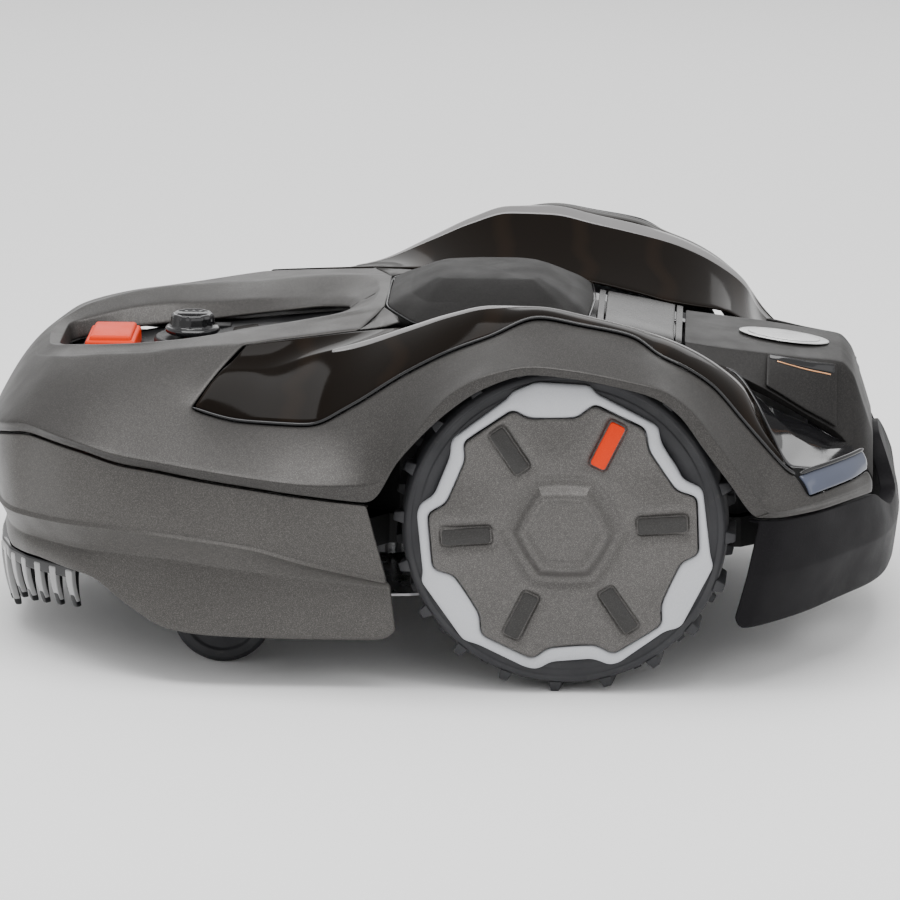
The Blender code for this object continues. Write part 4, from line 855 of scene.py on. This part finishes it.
def rear_module():
    rows = []
    for x in (*np.linspace(-189, -312, 42), *np.linspace(-314, -339, 26)):
        top, edge_y, edge_z, shoulder_y, shoulder_z, bottom = along(MODULE, -x)
        half = [(0, bottom), (shoulder_y - 3, bottom), (shoulder_y, shoulder_z), (edge_y, edge_z), (0, top)]
        half = [np.array((x, *p)) for p in half]
        left = []
        for a, b in zip(half, half[1:]):
            left += [a + (b - a) * t for t in (0, 0.08, 0.35, 0.65, 0.92)]
        left.append(half[-1])
        rows.append(left + [p * (1, -1, 1) for p in left[-2:0:-1]])
    ends = []
    for ring in (rows[0], rows[-1]):
        middle = np.mean(ring, axis=0)
        ends.append([middle + (p - middle) * 0.94 for p in ring])
    bm = capped([ends[0]] + rows + [ends[1]])
    piece("rear_module_housing", bm, "grey", "body_shell", ["rear_module"])


def flank_sheet(heights, stations, lift, thickness):
    """Thin panel over the rear module's left flank."""
    bm = open_sheet([[module_flank(x, t, lift) for x in stations] for t in heights])
    bm.normal_update()
    if sum(f.normal.y for f in bm.faces) < 0:
        bmesh.ops.reverse_faces(bm, faces=bm.faces)
    return thicken(bm, thickness)


def accessory_panel():
    return flank_sheet(np.linspace(0.05, 0.95, 15), np.linspace(-254, -310, 22), 3.4, 2.0)


def accessory_strip():
    return flank_sheet(np.linspace(0.80, 0.93, 4), np.linspace(-256, -308, 16), 3.9, 0.7)


def accessory_line():
    return flank_sheet(np.linspace(0.765, 0.79, 4), np.linspace(-262, -305, 16), 3.9, 0.7)


BADGE_X = -268
BADGE_HALF = (36, 20)


def badge():
    """Plain stepped oval badge on the rear module's sloping top."""
    slope = (218 - 226) / (312 - 252)

    def on_top(u, v, height):
        x = BADGE_X + u
        return np.array((x, v, 226.3 + (-252 - x) * slope + height))

    oval = [np.array((BADGE_HALF[0] * math.cos(a), BADGE_HALF[1] * math.sin(a))) for a in turn(64)]
    inner = [p * 0.8 for p in oval]
    parts = [plate(oval, 0.5, 1.6, 0.5, on_top), plate(inner, 1.2, 2.2, 0.4, on_top)]
    piece("badge", joined(parts), "silver", "body_shell", ["badge_plate"])


# ---- drive wheels

def wheel_point(u, v, y):
    return np.array((WHEEL_X + u, y, WHEEL_Z + v))


def tyre():
    profile = [(99, 190), (112, 190), (119, 191), (123, 194), (124.8, 200), (125.2, 210), (125.4, 220),
               (125.2, 230), (124.8, 240), (123.4, 246), (121, 249), (117.5, 250), (116.5, 249.2),
               (112, 249.2), (111, 250), (99, 250)]
    parts = [turned(smooth_profile(profile, 0.9, 2), 144, (WHEEL_X, 0, WHEEL_Z), axis=1)]
    for k in range(LUGS):
        for shift, low, high, lean in ((0.0, 216, 247.5, 4), (0.5, 192.5, 224, -4)):
            angle = math.tau * (k + shift + 0.125) / LUGS
            parts.append(lug(angle, low, high, lean))
    return joined(parts)


def lug(angle, low, high, lean):
    """Tapered tread block, its ribs leaning across the tread."""
    bm = block((122.6, -4.9, low), (130.9, 4.9, high), 0.9, 2)
    middle = (low + high) / 2
    for v in bm.verts:
        share = (v.co.x - 123.4) / 7.5
        v.co.y = v.co.y * (1 - 0.35 * share) + lean * (v.co.z - middle) / (high - low)
        v.co.z = middle + (v.co.z - middle) * (1 - 0.16 * share)
    ca, sa = math.cos(angle), math.sin(angle)
    for v in bm.verts:
        x, y, z = v.co
        v.co = (WHEEL_X + x * ca - y * sa, z, WHEEL_Z + x * sa + y * ca)
    return bm


def polar(outline):
    """Radius of a closed outline as a function of angle, for angles in radians."""
    angles = np.array([math.atan2(v, u) % math.tau for u, v in outline])
    radii = np.array([math.hypot(u, v) for u, v in outline])
    order = np.argsort(angles)
    a, r = angles[order], radii[order]
    a, r = np.concatenate([a - math.tau, a, a + math.tau]), np.tile(r, 3)

    def radius(angle):
        return float(np.interp(angle % math.tau, a, r))

    return radius


def dense_outline(points, radius):
    """Rounded outline with straight runs divided, so that its radius is well sampled."""
    ring = rounded(points, radius, 5)
    out = []
    for a, b in zip(ring, ring[1:] + ring[:1]):
        count = max(int(np.linalg.norm(b - a) / 2.5), 1)
        out += [a + (b - a) * k / count for k in range(count)]
    return out


def rim_ring():
    """Light ring with a stepped outline round the hub cap, and the barrel and web behind it."""
    outer, inner = polar(dense_outline(RING_OUTER, 5)), polar(dense_outline(RING_INNER, 5))
    section = ((0.0, 249.5), (0.0, 251.8), (0.06, 253.2), (0.16, 254.2), (0.5, 254.6), (0.86, 254.2),
               (0.95, 253.0), (1.0, 251.6), (1.0, 249.5))
    rows = []
    for share, y in section:
        ring = []
        for a in turn(480):
            low, high = inner(a) + 0.5, outer(a)
            r = low + (high - low) * share
            ring.append(wheel_point(r * math.cos(a), r * math.sin(a), y))
        rows.append(ring)
    barrel = [(9, 241), (94.6, 241), (94.6, 194), (98.6, 194), (98.6, 250.4), (95, 250.4), (95, 247),
              (9, 247)]
    barrel = turned(smooth_profile(barrel, 0.8, 2), 96, (WHEEL_X, 0, WHEEL_Z), axis=1)
    return joined([looped(rows), barrel])


def smoothstep(low, high, value):
    t = min(max((value - low) / (high - low), 0.0), 1.0)
    return t * t * (3 - 2 * t)


POCKET_ANGLES = [math.radians(116 + 60 * k) for k in range(6)]
POCKET_R = 75
BAR_HALF = (18.4, 6)
CAP_Y = 257.2
CAP_RINGS = 110
CAP_SPOKES = 540


def cap_height(u, v, edge_r):
    """Height of the hub cap's face: centre boss, six pockets with flared surrounds, and folds to the rim."""
    r, a = math.hypot(u, v), math.atan2(v, u)
    y = CAP_Y + 0.6 * smoothstep(95, 30, r)
    fold = a % math.radians(60) - math.radians(30)
    apothem = r * (0.72 * math.cos(fold) + 0.26)
    y += 6.4 * smoothstep(36.5, 27.5, apothem) - 2.4 * smoothstep(26.5, 21.5, apothem)
    y -= 1.8 * math.exp(-((apothem - 39.5) / 4.0) ** 2)
    folds = math.cos(6 * (a - POCKET_ANGLES[0]))
    y -= 4.2 * (0.5 - 0.5 * folds) ** 1.5 * smoothstep(56, edge_r, r)
    for angle in POCKET_ANGLES:
        along_bar = u * math.cos(angle) + v * math.sin(angle) - POCKET_R
        across = -u * math.sin(angle) + v * math.cos(angle)
        if abs(along_bar) > 34 or abs(across) > 24:
            continue
        qx, qy = abs(along_bar) - 16.5, abs(across) - 4.0
        d = math.hypot(max(qx, 0), max(qy, 0)) + min(max(qx, qy), 0) - 2.5
        lift = across if v * math.cos(angle) > 0 else -across
        y -= (1.7 + 0.10 * lift) * math.exp(-(max(d, 0) / 4.5) ** 2)
        y -= 1.3 * math.exp(-((d - 0.2) / 0.8) ** 2)
        y += 0.7 * smoothstep(0.0, -1.2, d)
    return y


def hub_cap():
    inner = polar(dense_outline(RING_INNER, 5))
    rows = []
    for step in range(1, CAP_RINGS + 1):
        ring = []
        for a in turn(CAP_SPOKES):
            edge = inner(a) - 0.3
            r = edge * (0.03 + 0.97 * step / CAP_RINGS)
            u, v = r * math.cos(a), r * math.sin(a)
            drop = 0.9 * smoothstep(edge - 1.6, edge, r)
            ring.append(wheel_point(u, v, cap_height(u, v, edge) - drop))
        rows.append(ring)
    back = [p * (1, 0, 1) + np.array((0, 251.5, 0)) for p in rows[-1]]
    return capped(rows + [back])


def bar_insert(angle, top):
    """Rounded bar that lies in the hub pocket at an angle."""
    ca, sa = math.cos(angle), math.sin(angle)
    corners = [(BAR_HALF[0] * p, BAR_HALF[1] * q) for p, q in ((-1, -1), (1, -1), (1, 1), (-1, 1))]

    def on_cap(p, q, height):
        return wheel_point((POCKET_R + p) * ca - q * sa, (POCKET_R + p) * sa + q * ca, height)

    return plate(rounded(corners, 2.6, 6), 254.0, top, 0.6, on_cap)


def hub_marker():
    return bar_insert(POCKET_ANGLES[0], 258.2)


def hub_pads():
    return joined([bar_insert(angle, 257.4) for angle in POCKET_ANGLES[1:]])


# ---- casters

FORK_OUT = 25
FORK_IN = 22


def caster_fork():
    x, y = CASTER_AXIS_X, CASTER_Y
    stem = [(0.01, 86), (22, 86), (22, 91), (14, 95.4), (0.01, 95.4)]
    parts = [turned(smooth_profile(stem, 1.5, 3), 48, (x, y, 0)),
             block((CASTER_X - 9, y - FORK_OUT, 83.5), (x + 12, y + FORK_OUT, 89), 2.0, 3)]
    outline = [(CASTER_X - 9, 87), (CASTER_X - 9, 36), (CASTER_X - 4, 30), (CASTER_X + 5, 30),
               (CASTER_X + 10, 37), (x + 12, 83), (x + 12, 87)]
    for arm in (-1, 1):
        low, high = sorted((y + arm * FORK_IN, y + arm * FORK_OUT))
        parts.append(plate(rounded(outline, 5), low, high, 0.7, lambda u, v, h: np.array((u, h, v))))
    return joined(parts)


def caster_wheel():
    half = [(4.2, -20), (12, -20), (14, -17.5), (28, -17.5), (30, -20), (36, -20), (39.3, -17), (39.8, -9)]
    profile = half + [(CASTER_R, 0)] + [(r, -y) for r, y in half[::-1]]
    return turned(smooth_profile(profile, 1.0, 2), 96, (CASTER_X, CASTER_Y, CASTER_R), axis=1)


# ---- foot guard

GUARD_PATH = [(357, 0), (356, 40), (352, 80), (343, 108), (327, 132), (307, 150), (287, 165), (268, 177)]
PRONG_TOP = 70
RAIL_DEPTH = 9
# Places of the teeth along the guard's path, from its middle
GUARD_CENTRES = [19.0 * i for i in range(6)] + [117 + 17.5 * i for i in range(5)]


def guard_at(s):
    """Point and outward direction on the guard's path; negative s is the right side."""
    path = np.array(GUARD_PATH, float)
    run = np.concatenate([[0], np.cumsum(np.linalg.norm(np.diff(path, axis=0), axis=1))])
    a, b = (np.array([np.interp(abs(s) + d, run, path[:, k]) for k in range(2)]) for d in (-2, 2))
    run_dir = (b - a) / max(np.linalg.norm(b - a), 1e-6)
    p, out = (a + b) / 2, np.array((run_dir[1], -run_dir[0]))
    if s < 0:
        p, out = p * (1, -1), out * (1, -1)
    return p, out


def prong(s, tip, front):
    """One curved tooth of the comb; front is its light face only."""
    p, out = guard_at(s)
    side = np.array((-out[1], out[0]))
    rows = []
    for t in np.linspace(0, 1, 13):
        z = PRONG_TOP + (tip - PRONG_TOP) * t
        sweep = -7.0 * t * t
        half = (3.4 - 1.2 * t) + (0.35 if front else 0.0)
        depth = (9.0 - 3.5 * t) if not front else 5.0
        start = p + out * (sweep + (0.5 if front else -0.4))
        left, right = start + side * half, start - side * half
        ring = rounded([left, right, right - out * depth, left - out * depth], 0.8, 2)
        rows.append([np.array((*c, z)) for c in ring])
    return capped(rows)


def guard_bar():
    """Rail that carries the comb's teeth, along the guard's path."""
    section = [(0.0, 62.8), (0.08, 62), (0.92, 62), (1, 62.8), (1, 72.2), (0.92, 73), (0.08, 73), (0, 72.2)]
    rows = []
    for s in np.linspace(-1.02, 1.02, 157) * GUARD_CENTRES[-1]:
        p, out = guard_at(s)
        rows.append([np.array((*(p - out * RAIL_DEPTH * depth), z)) for depth, z in section])
    return capped(rows)


def foot_guard():
    parts, faces = [guard_bar()], []
    for i, s in enumerate(GUARD_CENTRES):
        tip = 20.0 if i < 6 else 31.0 + 1.5 * (i - 6)
        for sign in ((1, -1) if s else (1,)):
            parts.append(prong(s * sign, tip, False))
            faces.append(prong(s * sign, tip + 4, True))
    for sign in (1, -1):
        low, high = sorted((46 * sign, 58 * sign))
        parts.append(block((296, low, 66), (352, high, 72), 1.2))
        parts.append(block((301, low + 1, 67), (310, high - 1, 119), 1.2))
    piece("foot_guard_comb", joined(parts), "black", "chassis", ["foot_guard"])
    piece("foot_guard_faces", joined(faces), "prong", "chassis")


# ---- controls

def tray_z(x):
    """Height of the console's face at x."""
    return 200.5 + (306.0 - x) * (243.4 - 207.0) / (306.0 - 79.0)


def console():
    outline = [(312, 44), (300, 52), (262, 66), (228, 68), (150, 50), (60, 22)]
    ring = rounded(outline + [(x, -y) for x, y in outline[::-1]], 8, 5)
    centre = np.mean(ring, axis=0)
    rows = [[np.array((*p, 191.0)) for p in ring]]
    for inset, drop in ((0.0, 1.2), (0.012, 0.3), (0.05, 0), (0.3, 0), (0.6, 0)):
        inward = [centre + (p - centre) * (1 - inset) for p in ring]
        rows.append([np.array((*p, tray_z(p[0]) - drop)) for p in inward])
    pod = [(8.8, 198), (31, 198), (31, 218), (29.5, 220.4), (27, 221), (24.5, 220.2), (8.8, 220.2)]
    parts = [capped(rows), turned(smooth_profile(pod, 0.8, 3), 96, (KNOB_X, 0, 0))]
    bars = ((-25, -35, -22, 35), (22, -35, 25, 35), (-25, -35, 25, -32.4), (-25, 32.4, 25, 35))
    low = tray_z(STOP_X) - 4
    for x0, y0, x1, y1 in bars:
        parts.append(block((STOP_X + x0, y0, low), (STOP_X + x1, y1, low + 8), 0.7, 2))
    for y in (-33, 33):
        parts.append(block((176, y - 6, tray_z(182) - 3), (190, y + 6, tray_z(182) + 2.2), 1.4))
    piece("console_tray", joined(parts), "tray", "chassis", ["control_console"])


def display():
    corners = [(153, -15), (173, -15), (173, 15), (153, 15)]
    bm = plate(rounded(corners, 3, 5), 0.2, 2.3, 0.6, lambda u, v, h: np.array((u, v, tray_z(u) + h)))
    piece("display_glass", bm, "window", "chassis", ["display_window"])


def stop_button():
    parts = [block((STOP_X - 20.5, -30, 203), (STOP_X + 20.5, 30, 221.5), 2.6, 4, (0.97, 0.98)),
             block((STOP_X - 17.5, -27, 219), (STOP_X + 17.5, 27, 225), 2.2, 4, (0.93, 0.95))]
    piece("stop_button_cap", joined(parts), "orange", "stop_button", ["stop_button"], 0)


def knob():
    """Knob with a grip of shallow scallops and a raised finger bar."""
    profile = [(0.01, 223.6), (21, 223.6), (22, 224.6), (22, 227), (20.6, 228.4), (18.6, 229), (18, 230.5),
               (17.2, 236), (16, 238.6), (14, 239), (12.6, 238.2), (0.01, 237.8)]
    bm = turned(smooth_profile(profile, 0.7, 3), 144, (KNOB_X, 0, 0))
    for v in bm.verts:
        r = math.hypot(v.co.x - KNOB_X, v.co.y)
        if v.co.z > 229.5 and r > 12:
            a = math.atan2(v.co.y, v.co.x - KNOB_X)
            scale = 1 - 0.045 * (0.5 - 0.5 * math.cos(12 * a)) ** 0.7
            v.co.x, v.co.y = KNOB_X + (v.co.x - KNOB_X) * scale, v.co.y * scale
    bar = block((KNOB_X - 12, -3.2, 236.5), (KNOB_X + 12, 3.2, 239), 1.0, 3)
    piece("knob_grip", joined([bm, bar]), "black", "knob", ["knob"], 0)


# ---- underside and inner parts

# CAD material slot -> look
KEPT = {
    "chassis_plastic": "chassis", "battery_case": "battery", "circuit_board": "board", "motor_case": "motor",
    "steel": "steel", "disc_steel": "disc", "contact_copper": "copper", "post_rubber": "rubber",
}


def dress_kept_parts():
    """Rounds the edges of the CAD parts that stay in view and gives them their finishes."""
    slots = {part["node"]: part["material_slot"] for part in frame["record"]["subparts"]}
    for name, obj in frame["nodes"].items():
        look = KEPT.get(slots[name])
        if look is None or not obj.data.materials:
            continue
        for slot in obj.material_slots:
            slot.link = "OBJECT"
            slot.material = MATS[look]
        modifier = obj.modifiers.new("rounding", "BEVEL")
        modifier.width = 0.0007
        modifier.segments = 2
        modifier.limit_method = "ANGLE"
        modifier.angle_limit = math.radians(40)
        modifier.harden_normals = True


# ---- stage

FLOOR_GREY = 0.97
WORLD_STRENGTH = 0.95
CAMERA_PLACE = (-0.22487, 4.74079, 1.34636)
CAMERA_TARGET = (-0.0013, 0, 0.1278)
CAMERA_LENS = 244.0
# Area lights: name, place, size, power
LIGHTS = (
    ("overhead", (0.1, 0.4, 2.2), (2.2, 1.2), 55),
    ("camera_side", (-1.2, 2.6, 1.7), (2.0, 1.2), 7),
    ("front", (2.2, 1.4, 1.2), (1.4, 1.2), 5),
    ("rear", (-2.2, 0.6, 1.2), (1.4, 1.2), 6),
    ("far", (0.0, -2.6, 1.4), (2.6, 1.0), 14),
)


def look_at(obj, place, target):
    obj.location = place
    obj.rotation_euler = (Vector(target) - Vector(place)).to_track_quat("-Z", "Y").to_euler()


def floor():
    """Pale plain floor."""
    mat = bpy.data.materials.new("floor_look")
    mat.use_nodes = True
    shader = mat.node_tree.nodes["Principled BSDF"]
    shader.inputs["Base Color"].default_value = (FLOOR_GREY, FLOOR_GREY, FLOOR_GREY, 1)
    shader.inputs["Roughness"].default_value = 0.7
    bm = bmesh.new()
    bmesh.ops.create_grid(bm, x_segments=2, y_segments=2, size=30.0)
    show("floor", mesh_of("floor", bm, mat))


def lights():
    """White surroundings and soft area lights."""
    world = bpy.data.worlds.new("studio")
    world.use_nodes = True
    world.node_tree.nodes["Background"].inputs["Color"].default_value = (1, 1, 1, 1)
    world.node_tree.nodes["Background"].inputs["Strength"].default_value = WORLD_STRENGTH
    bpy.context.scene.world = world
    for name, place, size, power in LIGHTS:
        light = bpy.data.lights.new(name, "AREA")
        light.shape = "RECTANGLE"
        light.size, light.size_y = size
        light.energy = power
        look_at(show(name, light), place, (0, 0, 0.12))


def camera():
    lens = bpy.data.cameras.new("camera")
    lens.lens = CAMERA_LENS
    lens.sensor_width = 36.0
    lens.clip_end = 100.0
    view = show("camera", lens)
    look_at(view, CAMERA_PLACE, CAMERA_TARGET)
    bpy.context.scene.camera = view


# Left and right pieces: builder, name, look, body, CAD node, material slot, subdivision level
PAIRS = (
    (arch_window, "arch_window", "window", "body_shell", "trim", "smoked_window"),
    # The arch band pieces carry a painted highlight along the ridge of each arch
    (arch_ridge, "arch_ridge", "ridge", "body_shell"),
    (window_seal, "window_seal", "black", "body_shell"),
    (lamp, "lamp_lens", "lamp", "body_shell", "lamp", "lamp_lens"),
    (lamp_bezel, "lamp_bezel", "black", "body_shell"),
    (accessory_panel, "accessory_cover", "grey", "body_shell", "accessory_panel", "textured_grey"),
    (accessory_strip, "accessory_strip", "black", "body_shell"),
    (accessory_line, "accessory_line", "copper", "body_shell"),
    (tyre, "tyre_tread", "tyre", "drive_wheel_{}", "tyre", "tyre_rubber", 0),
    (rim_ring, "rim_ring", "ring", "drive_wheel_{}", "rim", "rim_grey", 0),
    (hub_cap, "hub_face", "hub", "drive_wheel_{}", "hub_cap", "hub_grey", 0),
    (hub_marker, "hub_bar", "orange", "drive_wheel_{}", "hub_marker", "signal_orange", 0),
    (hub_pads, "hub_pads", "pad", "drive_wheel_{}", None, None, 0),
    (caster_fork, "caster_bracket", "chassis", "caster_fork_{}", "caster_fork", "chassis_plastic", 0),
    (caster_wheel, "caster_tread", "tyre", "caster_wheel_{}", "caster_wheel", "tyre_rubber"),
)


def main():
    top_cover()
    skirt()
    rear_bumper()
    dome()
    deck()
    rear_module()
    badge()
    for pair in PAIRS:
        mirrored_pair(*pair)
    foot_guard()
    console()
    display()
    stop_button()
    knob()
    dress_kept_parts()
    floor()
    lights()
    camera()


main()
